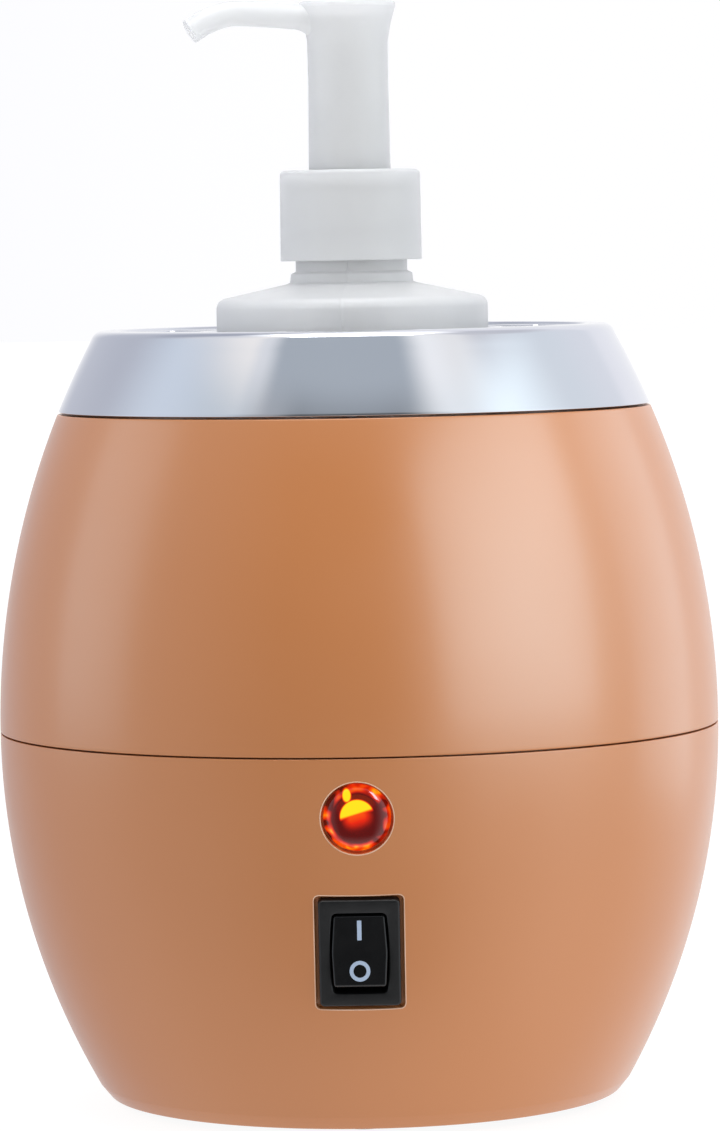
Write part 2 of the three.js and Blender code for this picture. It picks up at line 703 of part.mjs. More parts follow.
function stem() {
  const ports = rod(0.7, -5, 5, TINY).rotateY(Math.PI / 2).translate(0, 0, 149.5);
  const body = turned(
    [[0, 143.7], [4.2, 143.7], [4.2, 145.2], [STEM_R, 145.2], [STEM_R, 153.7], [4, 153.7], [4, 155.2],
      [STEM_R, 155.2], [STEM_R, 205], [1.6, 205], [1.6, 146.5], [0, 146.5]],
    SMALL,
  );
  return cut(body, ports);
}

// The path of the spout, as [distance from the axis, height].
const SPOUT_PATH = [
  [0, 210.4], [9.4, 210.5], [15, 210.9], [20.5, 211.3], [24, 210.8], [28, 209.3], [31.4, 207.8],
];

function spoutCurve() {
  return throughPoints(SPOUT_PATH.map(([r, z]) => [-r * cosine(SPOUT_TURN), -r * sine(SPOUT_TURN), z]));
}

// The head that is pressed: a flared top, a skirt over the collar, a post over the stem and the spout.
function actuator() {
  const skirt = turned(
    [
      [7.2, SKIRT_BOTTOM_Z], [SKIRT_R, SKIRT_BOTTOM_Z], [7.75, 198], [7.85, 206.4], [8.3, 208.6], [9.1, 211],
      [HEAD_R, 212], [9, 212.8], [8.2, HEAD_TOP_Z], [0, HEAD_TOP_Z], [0, 211.2], [8, 211.2], [7.1, 207.5],
      [7, 198],
    ],
    MEDIUM,
  );
  const post = rod(4.6, 196, 212, SMALL);
  const socket = rod(STEM_R + GAP, 195, 205.3, SMALL);
  const channel = rod(1.6, 205, 211, TINY);
  const spout = tube(spoutCurve(), SPOUT_R, 12, 18);
  const bore = tube(spoutCurve(), SPOUT_BORE_R, 8, 18);
  const mouth = rod(SPOUT_BORE_R, 0, 2, 8)
    .rotateY(radians(-114))
    .rotateZ(radians(SPOUT_TURN))
    .translate(...spoutCurve().getPoint(1).toArray());
  return cut(join(skirt, post, spout), socket, channel, bore, mouth);
}

function addBottle() {
  add("bottle", bottle(), MILKY);
  add("closure", closure(), MILKY);
  add("neck_gasket", ring(9.9, 11.6, 176.8, 177.6, MEDIUM), CERAMIC);
}

function addPump() {
  add("pump_housing", pumpHousing(), MILKY);
  add("collar", collar(), MILKY);
  add("dip_tube", dipTube(), MILKY);
  add("ball_retainer", ring(1.2, 4.8, 120.3, 121.3), MILKY);
  add("inlet_ball", new THREE.SphereGeometry(1.9, TINY, 8).translate(0, 0, 115.7), STEEL);
  const turns = 6;
  const pitch = (SPRING_Z[1] - SPRING_Z[0]) / turns;
  add("pump_spring", tube(new Helix(3.6, pitch, SPRING_Z[0], 0, turns), 0.42, 4, 60), STEEL);
  add("piston", ring(STEM_R + GAP, CYLINDER_R - 0.25, 146.6, 153.3), MILKY);
  add("stem", stem(), MILKY);
  add("actuator", actuator(), MILKY);
}

addHousing();
addRing();
addHeating();
addLeads();
addGland();
addPilotLight();
addSwitch();
addBottle();
addPump();

export default object;
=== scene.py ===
import math

import bmesh
import bpy
from mathutils import Euler, Matrix, Vector, geometry


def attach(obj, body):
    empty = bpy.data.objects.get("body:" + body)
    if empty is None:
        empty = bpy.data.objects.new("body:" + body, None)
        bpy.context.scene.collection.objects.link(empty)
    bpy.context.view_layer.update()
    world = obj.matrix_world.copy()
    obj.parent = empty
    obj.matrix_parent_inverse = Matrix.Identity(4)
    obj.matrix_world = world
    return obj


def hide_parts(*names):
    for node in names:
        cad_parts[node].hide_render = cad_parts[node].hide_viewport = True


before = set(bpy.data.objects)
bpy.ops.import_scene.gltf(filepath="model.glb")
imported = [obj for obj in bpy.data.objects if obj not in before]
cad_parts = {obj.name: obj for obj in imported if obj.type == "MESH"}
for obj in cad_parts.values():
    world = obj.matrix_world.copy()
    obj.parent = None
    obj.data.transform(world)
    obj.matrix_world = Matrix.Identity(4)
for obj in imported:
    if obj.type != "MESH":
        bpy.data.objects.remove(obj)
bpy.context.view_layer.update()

MM = 0.001

WAIST_R = 70.0
WAIST_Z = 73.0
UPPER_ARC_R = 159.5
LOWER_ARC_R = 141.0
SEAM = 0.15
WALL = 2.6
DECK_Z = (132.0, 134.5)
RING_Z = (134.9, 150.5)
PLATE_TOP_Z = 150.0
PLATE_BOTTOM_Z = 147.6
BOTTLE_HOLE_R = 28.4
RING_WALL = 2.4
SEAM_INNER_R = 66.8
VENT_ANGLES = [22.5 + 45 * i for i in range(8)]
VENT_R = (36, 44)
VENT_SPAN = 23
SCREW_SEAT = Vector((40, 0, 4.6))
FOOT_CIRCLE_R = 36

LIGHT_Z = 61.9
SWITCH_Z = 36.5
SWITCH_FLOOR = -2.4
BEZEL_FRONT = -0.1
ROCKER_PIVOT = -2.2
ROCKER_TILT = 11
ROCKER_R = 7.65
ROCKER_LOW_R = 6.95
ROCKER_TIP_ANGLE = 27.2
ROCKER_MIDDLE_Z = 0.7
ROCKER_TIP_Z = 1.297
ON_MARK_Y = 4.22
OFF_MARK_Y = -3.4
GLAND_Z = 16.0
GLAND_FACE_Y = 56.0
GLAND_WALL_R = 53.4
BOTTLE_R = 26.4
THREAD_PITCH = 3.175
THREAD_Z = 168
COLLAR_RIBS = (-54, -18, 126, 162)

PARTING = -4.0
SPOUT_TURN = 16
SPOUT_PATH = [(0, 210.4), (9.4, 210.5), (15, 210.9), (20.5, 211.2), (24, 211.1), (28, 209.8), (31.4, 207.8)]
SPOUT_R = 2.42
SPOUT_BORE_R = 1.5


# --- Mesh making ------------------------------------------------------------------------------------

class Shape:
    """Points and faces in millimetres, gathered from skins, and made into one mesh at the end."""

    def __init__(self):
        self.points = []
        self.faces = []

    def add(self, points, faces):
        first = len(self.points)
        self.points += [Vector(p) for p in points]
        self.faces += [[first + i for i in face] for face in faces]
        return self

    def skin(self, rings, ends=False):
        """Quads between closed rings that have the same number of points."""
        count = len(rings[0])
        faces = []
        for row in range(len(rings) - 1):
            for i in range(count):
                j = (i + 1) % count
                faces.append([row * count + i, row * count + j, (row + 1) * count + j, (row + 1) * count + i])
        if ends:
            last = (len(rings) - 1) * count
            faces += [list(range(count)), list(range(last, last + count))]
        return self.add([p for ring in rings for p in ring], faces)

    def mesh(self, name, smooth=32):
        made = bmesh.new()
        for p in self.points:
            made.verts.new(p * MM)
        made.verts.ensure_lookup_table()
        for face in self.faces:
            corners = list(dict.fromkeys(face))
            if len(corners) > 2:
                try:
                    made.faces.new([made.verts[i] for i in corners])
                except ValueError:
                    pass
        bmesh.ops.remove_doubles(made, verts=made.verts[:], dist=2e-7)
        bmesh.ops.dissolve_degenerate(made, edges=made.edges[:], dist=1e-8)
        bmesh.ops.recalc_face_normals(made, faces=made.faces[:])
        mesh = bpy.data.meshes.new(name)
        made.to_mesh(mesh)
        made.free()
        mesh.shade_smooth()
        mesh.set_sharp_from_angle(angle=math.radians(smooth))
        return mesh


def even_angles(count, first=0.0):
    return [first + 360 * i / count for i in range(count)]


def circle(r, z, angles):
    """A ring at a height. Angle 0 faces the front, -Y, and grows towards +X."""
    return [(r * math.sin(math.radians(a)), -r * math.cos(math.radians(a)), z) for a in angles]


def rounded(points, closed=True, steps=6):
    """A profile of (x, y, fillet) points with each corner turned into an arc."""
    out = []
    for i, (x, y, fillet) in enumerate(points):
        if fillet == 0 or (not closed and i in (0, len(points) - 1)):
            out.append((x, y))
            continue
        corner = Vector((x, y))
        before = Vector(points[i - 1][:2]) - corner
        after = Vector(points[(i + 1) % len(points)][:2]) - corner
        half = before.angle(after) / 2
        reach = min(fillet / math.tan(half), 0.49 * before.length, 0.49 * after.length)
        radius = reach * math.tan(half)
        middle = corner + (before.normalized() + after.normalized()).normalized() * (radius / math.sin(half))
        start = corner + before.normalized() * reach - middle
        end = corner + after.normalized() * reach - middle
        turn = start.angle_signed(end)
        for k in range(steps + 1):
            a = -turn * k / steps
            out.append((
                middle.x + start.x * math.cos(a) - start.y * math.sin(a),
                middle.y + start.x * math.sin(a) + start.y * math.cos(a),
            ))
    return out


def lathe(corners, count, closed=False):
    """A profile of (radius, height, fillet) corners turned about the Z axis."""
    profile = rounded(corners, closed)
    loop = profile + [profile[0]] if closed else profile
    return Shape().skin([circle(r, z, even_angles(count)) for r, z in loop])


def rod(radius, low, high, count=48):
    """A plain round rod along the Z axis."""
    return Shape().skin([circle(radius, z, even_angles(count)) for z in (low, high)], ends=True)


def bar(edge, low, high):
    """A straight bar along the Z axis with an outline as its section."""
    return Shape().skin([ring_of(edge, 0, z) for z in (low, high)], ends=True)


def quarter_turn(steps):
    """The (1 - sine, 1 - cosine) pairs of a quarter turn, which round an edge."""
    angles = [math.pi / 2 * k / steps for k in range(steps + 1)]
    return [(1 - math.sin(a), 1 - math.cos(a)) for a in angles]


def inside(p, polygon):
    hit = False
    for (x0, y0), (x1, y1) in zip(polygon, polygon[1:] + polygon[:1]):
        if (y0 > p[1]) != (y1 > p[1]) and p[0] < (x1 - x0) * (p[1] - y0) / (y1 - y0) + x0:
            hit = not hit
    return hit


def triangles(points, loops, holes):
    """Triangles over flat points that keep the loops' edges and leave the holes open."""
    edges = [(a, b) for loop in loops for a, b in zip(loop, loop[1:] + loop[:1])]
    out, _, faces, ids, _, _ = geometry.delaunay_2d_cdt([Vector(p) for p in points], edges, [], 0, 1e-5)
    made = []
    for face in faces:
        middle = sum((out[i] for i in face), Vector((0, 0))) / len(face)
        if not any(inside(middle, hole) for hole in holes):
            made.append([ids[i][0] for i in face])
    return made


def outline(width, height, radius, arc_steps=5, side_steps=8):
    """A rounded rectangle as (point, outward normal) pairs, counter-clockwise."""
    made = []
    hx, hy = width / 2 - radius, height / 2 - radius
    corners = [(hx, hy, 0), (-hx, hy, 90), (-hx, -hy, 180), (hx, -hy, 270)]
    for i, (cx, cy, first) in enumerate(corners):
        for k in range(arc_steps + 1):
            a = math.radians(first + 90 * k / arc_steps)
            n = Vector((math.cos(a), math.sin(a)))
            made.append((Vector((cx, cy)) + n * radius, n))
        nx, ny, _ = corners[(i + 1) % 4]
        n = made[-1][1]
        start = made[-1][0]
        end = Vector((nx, ny)) + n * radius
        for k in range(1, side_steps):
            made.append((start.lerp(end, k / side_steps), n))
    return made


def round_outline(radius, count):
    made = []
    for i in range(count):
        a = 2 * math.pi * i / count
        n = Vector((math.cos(a), math.sin(a)))
        made.append((n * radius, n))
    return made


def sector_outline(inner, outer, angle, span, radius, arc_steps=4, side_steps=10):
    """A slot that follows a ring, with rounded corners, as (point, outward normal) pairs."""
    made = []
    half = math.radians(span / 2)
    out_turn = half - math.asin(radius / (outer - radius))
    in_turn = half - math.asin(radius / (inner + radius))

    def at(r, a):
        return Vector((r * math.cos(a), r * math.sin(a)))

    def arc(r, first, last, sign):
        for k in range(side_steps + 1):
            a = first + (last - first) * k / side_steps
            made.append((at(r, a), at(sign, a)))

    def corner(centre, first, last):
        for k in range(1, arc_steps):
            a = first + (last - first) * k / arc_steps
            made.append((centre + at(radius, a), at(1, a)))

    quarter = math.pi / 2
    arc(outer, -out_turn, out_turn, 1)
    corner(at(outer - radius, out_turn), out_turn, half + quarter)
    made.append((at(outer - radius, out_turn) + at(radius, half + quarter), at(1, half + quarter)))
    made.append((at(inner + radius, in_turn) + at(radius, half + quarter), at(1, half + quarter)))
    corner(at(inner + radius, in_turn), half + quarter, math.pi + in_turn)
    arc(inner, in_turn, -in_turn, -1)
    corner(at(inner + radius, -in_turn), math.pi - in_turn, 3 * quarter - half)
    made.append((at(inner + radius, -in_turn) + at(radius, -half - quarter), at(1, -half - quarter)))
    made.append((at(outer - radius, -out_turn) + at(radius, -half - quarter), at(1, -half - quarter)))
    corner(at(outer - radius, -out_turn), -half - quarter, -out_turn)
    turn = Matrix.Rotation(math.radians(angle), 2)
    return [(turn @ p, turn @ n) for p, n in made]


def ring_of(shape, offset, z):
    return [(p.x + n.x * offset, p.y + n.y * offset, z) for p, n in shape]


def sheet_with_holes(shape, border, inner, holes, z):
    """A flat face between a border ring and an optional inner ring, with holes in it."""
    points = []
    loops = []
    for loop in [border] + ([inner] if inner else []) + holes:
        loops.append(list(range(len(points), len(points) + len(loop))))
        points += [(p[0], p[1]) for p in loop]
    voids = [[(p[0], p[1]) for p in loop] for loop in ([inner] if inner else []) + holes]
    shape.add([(x, y, z) for x, y in points], triangles(points, loops, voids))


def with_modifier(ob, kind, **settings):
    """Applies a modifier to a piece's mesh."""
    modifier = ob.modifiers.new("made", kind)
    for key, value in settings.items():
        setattr(modifier, key, value)
    bpy.context.view_layer.update()
    made = bpy.data.meshes.new_from_object(ob.evaluated_get(bpy.context.evaluated_depsgraph_get()))
    ob.modifiers.clear()
    old = ob.data
    ob.data = made
    bpy.data.meshes.remove(old)


def loose(name, mesh):
    ob = bpy.data.objects.new(name, mesh)
    bpy.context.scene.collection.objects.link(ob)
    return ob


def combined(ob, mesh, operation, smooth=32):
    """Joins, cuts or keeps what is common with another mesh."""
    other = loose("tool", mesh)
    with_modifier(ob, "BOOLEAN", operation=operation, solver="EXACT", object=other)
    bpy.data.objects.remove(other)
    bpy.data.meshes.remove(mesh)
    ob.data.shade_smooth()
    ob.data.set_sharp_from_angle(angle=math.radians(smooth))


def placed(shape, matrix):
    shape.points = [matrix @ p for p in shape.points]
    return shape


def piece(name, mesh, body, slot, replaces=(), material=None):
    """Makes a mesh, or an object, a visible piece with its slot's material or one of its own."""
    ob = loose(name, mesh) if isinstance(mesh, bpy.types.Mesh) else mesh
    ob.name = name
    ob.data.materials.clear()
    ob.data.materials.append(material or SLOT_LOOKS[slot])
    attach(ob, body)
    if replaces:
        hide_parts(*replaces)


# --- The barrel -------------------------------------------------------------------------------------

def barrel_r(z):
    arc = UPPER_ARC_R if z > WAIST_Z else LOWER_ARC_R
    return WAIST_R - arc + math.sqrt(arc ** 2 - (z - WAIST_Z) ** 2)


def barrel_line(z0, z1, inset, count):
    heights = [z0 + (z1 - z0) * i / count for i in range(count + 1)]
    return [(barrel_r(z) - inset, z) for z in heights]


def front_panel(z):
    """The frame of a panel on the barrel's front: X across, Y up the surface, Z out of it."""
    lean = math.asin((WAIST_Z - z) / LOWER_ARC_R)
    turn = Matrix.Rotation(math.pi / 2 + lean, 4, "X")
    return Matrix.Translation((0, -barrel_r(z), z)) @ turn


LIGHT_PANEL = front_panel(LIGHT_Z)
SWITCH_PANEL = front_panel(SWITCH_Z)
GLAND_FRAME = Matrix.Translation((0, GLAND_FACE_Y, GLAND_Z)) @ Matrix.Rotation(-math.pi / 2, 4, "X")
LIGHT_EDGE = round_outline(6.65, 72)
SWITCH_EDGE = outline(16.4, 22.4, 0.9)
RECESS_FILLET = 0.3


# --- Materials --------------------------------------------------------------------------------------

def wire(tree, socket, value):
    """Links another node's output to an input, or gives the input a plain value."""
    if isinstance(value, bpy.types.NodeSocket):
        tree.links.new(value, socket)
    else:
        socket.default_value = value


def set_sockets(tree, node, sockets):
    for key, value in sockets.items():
        wire(tree, node.inputs[key.replace("_", " ").title().replace("Ior", "IOR")], value)


def new_node(tree, kind, settings=None, **sockets):
    node = tree.nodes.new("ShaderNode" + kind)
    for key, value in (settings or {}).items():
        setattr(node, key, value)
    set_sockets(tree, node, sockets)
    return node


def math_node(tree, operation, *values):
    node = new_node(tree, "Math", {"operation": operation})
    for socket, value in zip(node.inputs, values):
        wire(tree, socket, value)
    return node.outputs[0]


def smooth_step(tree, value, start, end):
    """Goes from 0 at the start to 1 at the end."""
    kind = {"interpolation_type": "SMOOTHSTEP"}
    return new_node(tree, "MapRange", kind, value=value, from_min=start, from_max=end).outputs["Result"]


def color_ramp(tree, value, stops, interpolation="LINEAR"):
    """Colour by a value, from (position, colour) stops."""
    node = new_node(tree, "ValToRGB", fac=value)
    ramp = node.color_ramp
    ramp.interpolation = interpolation
    ramp.elements.remove(ramp.elements[0])
    for i, (spot, color) in enumerate(stops):
        element = ramp.elements.new(spot) if i else ramp.elements[0]
        element.position = spot
        element.color = (*color, 1)
    return node.outputs["Color"]


def shade(material, **sockets):
    """Sets or links the inputs of a material's shader."""
    set_sockets(material.node_tree, material.node_tree.nodes["Principled BSDF"], sockets)


def look(name, color, roughness, **sockets):
    """A Principled material with its plain values set on the shader."""
    material = bpy.data.materials.new(name)
    material.use_nodes = True
    shade(material, base_color=(*color, 1), roughness=roughness, **sockets)
    return material


def noise(material, scale, detail, stretch=(1, 1, 1)):
    """A noise over the piece's own coordinates, which are metres."""
    tree = material.node_tree
    place = new_node(tree, "TexCoord").outputs["Object"]
    mapped = new_node(tree, "Mapping", vector=place, scale=stretch).outputs["Vector"]
    return new_node(tree, "TexNoise", vector=mapped, scale=scale, detail=detail).outputs["Fac"]


def spread(material, value, low, high):
    """Maps a noise, which stays near its middle, to a range."""
    limits = {"from_min": 0.3, "from_max": 0.7, "to_min": low, "to_max": high}
    return new_node(material.node_tree, "MapRange", value=value, **limits).outputs["Result"]


def mottled(material, value, dark, light):
    """Changes the colour with a noise, and gives that colour back."""
    color = color_ramp(material.node_tree, value, [(0.32, dark), (0.68, light)])
    shade(material, base_color=color)
    return color


def roughened(material, value, low, high):
    shade(material, roughness=spread(material, value, low, high))


def bumped(material, layers):
    """Adds (height, distance in metres) layers of bump, one on another."""
    below = {}
    for height, distance in layers:
        bump = new_node(material.node_tree, "Bump", strength=1.0, distance=distance, height=height, **below)
        below = {"normal": bump.outputs["Normal"]}
    shade(material, **below)


def moulded(name, dark, light, rough, scale, grain, depth, **sockets):
    """A slow change of colour, uneven gloss and a fine surface grain."""
    made = look(name, light, sum(rough) / 2, **sockets)
    mottled(made, noise(made, scale, 4), dark, light)
    roughened(made, noise(made, scale * 3, 3), *rough)
    bumped(made, [(noise(made, grain, 2), depth)])
    return made


def caramel_look():
    made = look("caramel_gloss", (0.535, 0.200, 0.064), 0.34, ior=1.5, coat_weight=0.5, coat_roughness=0.22)
    mottled(made, noise(made, 14, 2), (0.522, 0.193, 0.060), (0.548, 0.207, 0.068))
    roughened(made, noise(made, 45, 4), 0.33, 0.40)
    bumped(made, [(noise(made, 28, 1.5), 5e-5), (noise(made, 900, 2), 1.5e-6)])
    return made


def chrome_look():
    made = look("chrome_plating", (0.72, 0.735, 0.775), 0.05, metallic=1.0)
    mottled(made, noise(made, 30, 3), (0.71, 0.727, 0.77), (0.73, 0.743, 0.78))
    roughened(made, noise(made, 120, 5), 0.035, 0.085)
    bumped(made, [(noise(made, 60, 2), 1.2e-5)])
    return made


def milky_look():
    made = look("milky_polypropylene", (0.93, 0.935, 0.945), 0.38, ior=1.49, alpha=0.72,
                transmission_weight=0.3, subsurface_weight=0.4, subsurface_scale=0.004,
                subsurface_radius=(1.0, 1.0, 1.05))
    mottled(made, noise(made, 70, 3, (1, 1, 0.35)), (0.91, 0.915, 0.925), (0.95, 0.953, 0.96))
    roughened(made, noise(made, 160, 4), 0.3, 0.44)
    bumped(made, [(noise(made, 140, 2, (1, 1, 0.4)), 4e-5), (noise(made, 1800, 2), 6e-6)])
    return made


def lens_look():
    """A lit red lens: a bright patch in its upper half, a small bright spot above it to the left, and a
    broken glow round its rim.
    """
    made = look("red_lens", (0.16, 0.003, 0.002), 0.04, ior=1.5, coat_weight=0.5, coat_roughness=0.03,
                transmission_weight=0.3, emission_strength=0.85)
    roughened(made, noise(made, 900, 2), 0.03, 0.07)
    tree = made.node_tree
    place = new_node(tree, "TexCoord").outputs["Object"]
    facing = new_node(tree, "Mapping", {"vector_type": "TEXTURE"}, vector=place,
                      location=LIGHT_PANEL.translation * MM, rotation=LIGHT_PANEL.to_euler())
    flat = new_node(tree, "SeparateXYZ", vector=facing.outputs["Vector"])
    x, y = flat.outputs["X"], flat.outputs["Y"]

    def calc(operation, *values):
        return math_node(tree, operation, *values)

    def step(value, start, end):
        return smooth_step(tree, value, start * MM, end * MM)

    def distance(cx, cy, flatten=1.0):
        """The distance from a point of the panel, which flatten makes an oval."""
        dx = calc("ADD", x, -cx * MM)
        dy = calc("MULTIPLY", calc("ADD", y, -cy * MM), flatten)
        return calc("SQRT", calc("ADD", calc("MULTIPLY", dx, dx), calc("MULTIPLY", dy, dy)))

    slant = calc("SUBTRACT", y, calc("MULTIPLY", x, 0.3))
    patch = calc("MULTIPLY", step(distance(0.0, 0.4), 3.35, 2.95), step(slant, 0.3, 1.3))
    upper_left_spot = step(distance(-1.85, 4.3, 0.65), 1.0, 0.6)
    under = calc("MULTIPLY", step(distance(0.1, -0.1), 3.3, 1.2), step(slant, -2.8, 1.2))
    broken = spread(made, noise(made, 380, 1), -0.6, 1.5)
    rim = calc("MULTIPLY", step(distance(0, 0), 4.5, 5.3), broken)
    bright = calc("MAXIMUM", patch, upper_left_spot)
    dimmer = calc("MAXIMUM", calc("MULTIPLY", under, 0.5), calc("MULTIPLY", rim, 0.52))
    stops = [
        (0.0, (0.02, 0.0, 0.0)), (0.3, (0.75, 0.02, 0.0)), (0.6, (1.0, 0.13, 0.0)),
        (0.8, (1.0, 0.5, 0.005)), (1.0, (1.0, 0.92, 0.01)),
    ]
    shade(made, emission_color=color_ramp(tree, calc("MAXIMUM", bright, dimmer), stops))
    return made


def neon_look():
    dark, light = (1.0, 0.22, 0.01), (1.0, 0.42, 0.02)
    made = look("neon_glow", light, 0.3, emission_strength=3.0)
    shade(made, emission_color=mottled(made, noise(made, 700, 2), dark, light))
    return made


CARAMEL = caramel_look()
# A pale caramel that paints the highlight on the recess rims' rounded edges.
RIM_PAINTED_HIGHLIGHT = moulded("caramel_painted_highlight", (0.70, 0.42, 0.27), (0.86, 0.58, 0.42), (0.3, 0.42), 120, 1500, 4e-6, ior=1.5)
CHROME = chrome_look()
MILKY = milky_look()
LENS = lens_look()
BLACK = moulded("black_satin", (0.005, 0.005, 0.0055), (0.009, 0.009, 0.0095), (0.4, 0.52), 300, 2400, 2.2e-5)
GLOSS = moulded("black_gloss", (0.0035, 0.0035, 0.004), (0.006, 0.006, 0.0065), (0.16, 0.26), 300, 2400, 4e-6)
RUBBER = moulded("foot_rubber", (0.012, 0.012, 0.012), (0.022, 0.021, 0.021), (0.72, 0.9), 400, 2600, 3e-5)
PRINT = moulded("pad_print", (0.40, 0.50, 0.66), (0.44, 0.54, 0.70), (0.5, 0.62), 900, 4000, 5e-6)
CUP = moulded("drawn_aluminium", (0.62, 0.63, 0.65), (0.75, 0.76, 0.78), (0.28, 0.42), 80, 1800, 8e-6,
              metallic=1.0)
STEEL = moulded("plated_steel", (0.50, 0.50, 0.52), (0.66, 0.66, 0.68), (0.22, 0.38), 500, 3000, 4e-6,
                metallic=1.0)
BRASS = moulded("stamped_brass", (0.62, 0.42, 0.16), (0.78, 0.58, 0.27), (0.24, 0.4), 500, 3000, 4e-6,
                metallic=1.0)
FELT = moulded("glass_felt", (0.60, 0.56, 0.47), (0.74, 0.70, 0.62), (0.85, 1.0), 500, 1500, 3e-4)
SILICONE = moulded("silicone_mat", (0.36, 0.075, 0.025), (0.46, 0.11, 0.04), (0.5, 0.7), 300, 1400, 6e-5)
CERAMIC = moulded("steatite", (0.72, 0.69, 0.62), (0.83, 0.80, 0.74), (0.4, 0.6), 400, 2200, 2e-5)
INSULATION = moulded("lead_insulation", (0.24, 0.025, 0.014), (0.32, 0.04, 0.022), (0.4, 0.55),
                     400, 2400, 2e-5)
NEON = neon_look()

SLOT_LOOKS = {
    "caramel_plastic": CARAMEL,
    "chrome_plating": CHROME,
    "cup_aluminium": CUP,
    "steel": STEEL,
    "brass": BRASS,
    "milky_pp": MILKY,
    "black_plastic": BLACK,
    "foot_rubber": RUBBER,
    "red_lens": LENS,
    "neon_glass": NEON,
    "heater_silicone": SILICONE,
    "glass_felt": FELT,
    "ceramic": CERAMIC,
    "lead_insulation": INSULATION,
}
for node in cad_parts.values():
    slot_name = node.data.materials[0].name.split(".")[0]
    node.material_slots[0].link = "OBJECT"
    node.material_slots[0].material = SLOT_LOOKS[slot_name]


# --- The camera -------------------------------------------------------------------------------------

camera = bpy.data.objects.new("camera", bpy.data.cameras.new("camera"))
bpy.context.scene.collection.objects.link(camera)
camera.data.lens = 165.3
camera.data.sensor_width = 36
camera.data.clip_start = 0.05
azimuth = math.radians(0.56)
downward = 3.471
roll = -1.0
camera.location = Matrix.Rotation(azimuth, 3, "Z") @ Vector((0.00065, -1.01135, 0.16526))
aim = Euler((math.radians(90 - downward), 0, azimuth)).to_matrix()
camera.rotation_euler = (aim @ Matrix.Rotation(math.radians(roll), 3, "Z")).to_euler()
bpy.context.scene.camera = camera


# --- The housing and the ring ---------------------------------------------------------------------

def surface_height(panel, x, y):
    """How far the barrel's surface is along a panel's Z over one of its points."""
    out = (panel.to_3x3() @ Vector((0, 0, 1))).normalized()
    height = 0.0
    for _ in range(12):
        p = panel @ Vector((x, y, height))
        radial = Vector((p.x, p.y, 0)).normalized()
        slope = (WAIST_Z - p.z) / (LOWER_ARC_R ** 2 - (p.z - WAIST_Z) ** 2) ** 0.5
        facing = out.dot(radial) - slope * out.z
        height -= (math.hypot(p.x, p.y) - barrel_r(p.z)) / facing
    return height


def pocket(panel, edge, floor, fillet, floor_fillet=0.0):
    """The rings of a recess, or a pad, from the barrel's surface to its floor."""
    rings = []
    for across, down in quarter_turn(5):
        ring = []
        for p, n in edge:
            q = p + n * fillet * across
            top = surface_height(panel, q.x, q.y)
            drop = min(fillet, abs(top - floor) * 0.5) * down
            ring.append(panel @ Vector((q.x, q.y, top - math.copysign(drop, top - floor))))
        rings.append(ring)
    if floor_fillet:
        for across, up in quarter_turn(3):
            ring = ring_of(edge, -floor_fillet * up, floor + floor_fillet * across)
            rings.append([panel @ Vector(q) for q in ring])
    else:
        rings.append([panel @ Vector(q) for q in ring_of(edge, 0, floor)])
    return rings


def patched_barrel(shape, z_rows, angles, patches):
    """The lower shell's outside: a grid, with patches of triangles round the pockets' rims."""
    count = len(angles)
    grid = [circle(barrel_r(z), z, angles) for z in z_rows]
    first = len(shape.points)
    shape.add([p for ring in grid for p in ring], [])
    taken = set()
    for rows, columns, rims in patches:
        cells = [(i, j % count) for i in range(rows[0], rows[1]) for j in range(columns[0], columns[1])]
        taken.update(cells)
        centre = angles[((columns[0] + columns[1]) // 2) % count]

        def flat(p):
            turn = math.degrees(math.atan2(p[0], -p[1])) - centre
            return ((turn + 180) % 360 - 180) * 1.15, p[2]

        flats = []
        ids = []
        holes = [[flat(p) for p in rim] for rim in rims]
        grown = []
        for hole in holes:
            middle = (sum(x for x, _ in hole) / len(hole), sum(y for _, y in hole) / len(hole))
            grown.append([(middle[0] + (x - middle[0]) * 1.05, middle[1] + (y - middle[1]) * 1.05)
                          for x, y in hole])
        for i in range(rows[0], rows[1] + 1):
            for j in range(columns[0], columns[1] + 1):
                p = flat(grid[i][j % count])
                if not any(inside(p, polygon) for polygon in grown):
                    flats.append(p)
                    ids.append(first + i * count + j % count)
        loops = []
        for rim, hole in zip(rims, holes):
            start = len(shape.points)
            shape.add(rim, [])
            loops.append(list(range(len(flats), len(flats) + len(hole))))
            flats += hole
            ids += list(range(start, start + len(rim)))
        for face in triangles(flats, loops, holes):
            shape.faces.append([ids[i] for i in face])
    for i in range(len(z_rows) - 1):
        for j in range(count):
            if (i, j) not in taken:
                k = (j + 1) % count
                shape.faces.append([first + i * count + j, first + i * count + k,
                                    first + (i + 1) * count + k, first + (i + 1) * count + j])
    return grid


def on_barrel(p):
    return abs(math.hypot(p.x, p.y) - barrel_r(p.z)) < 2e-3


def smooth_outside(mesh, low, high):
    """Gives the faces on the barrel's outside the exact normals of its curve."""
    normals = []
    for face in mesh.polygons:
        corners = [mesh.vertices[i].co / MM for i in face.vertices]
        outside = all(low <= p.z <= high and on_barrel(p) for p in corners)
        for p in corners:
            if outside:
                arc = UPPER_ARC_R if p.z > WAIST_Z else LOWER_ARC_R
                radial = Vector((p.x, p.y, 0)).normalized()
                rise = (p.z - WAIST_Z) / arc
                normals.append(radial * math.sqrt(1 - rise ** 2) + Vector((0, 0, rise)))
            else:
                normals.append(Vector((0, 0, 0)))
    mesh.normals_split_custom_set(normals)


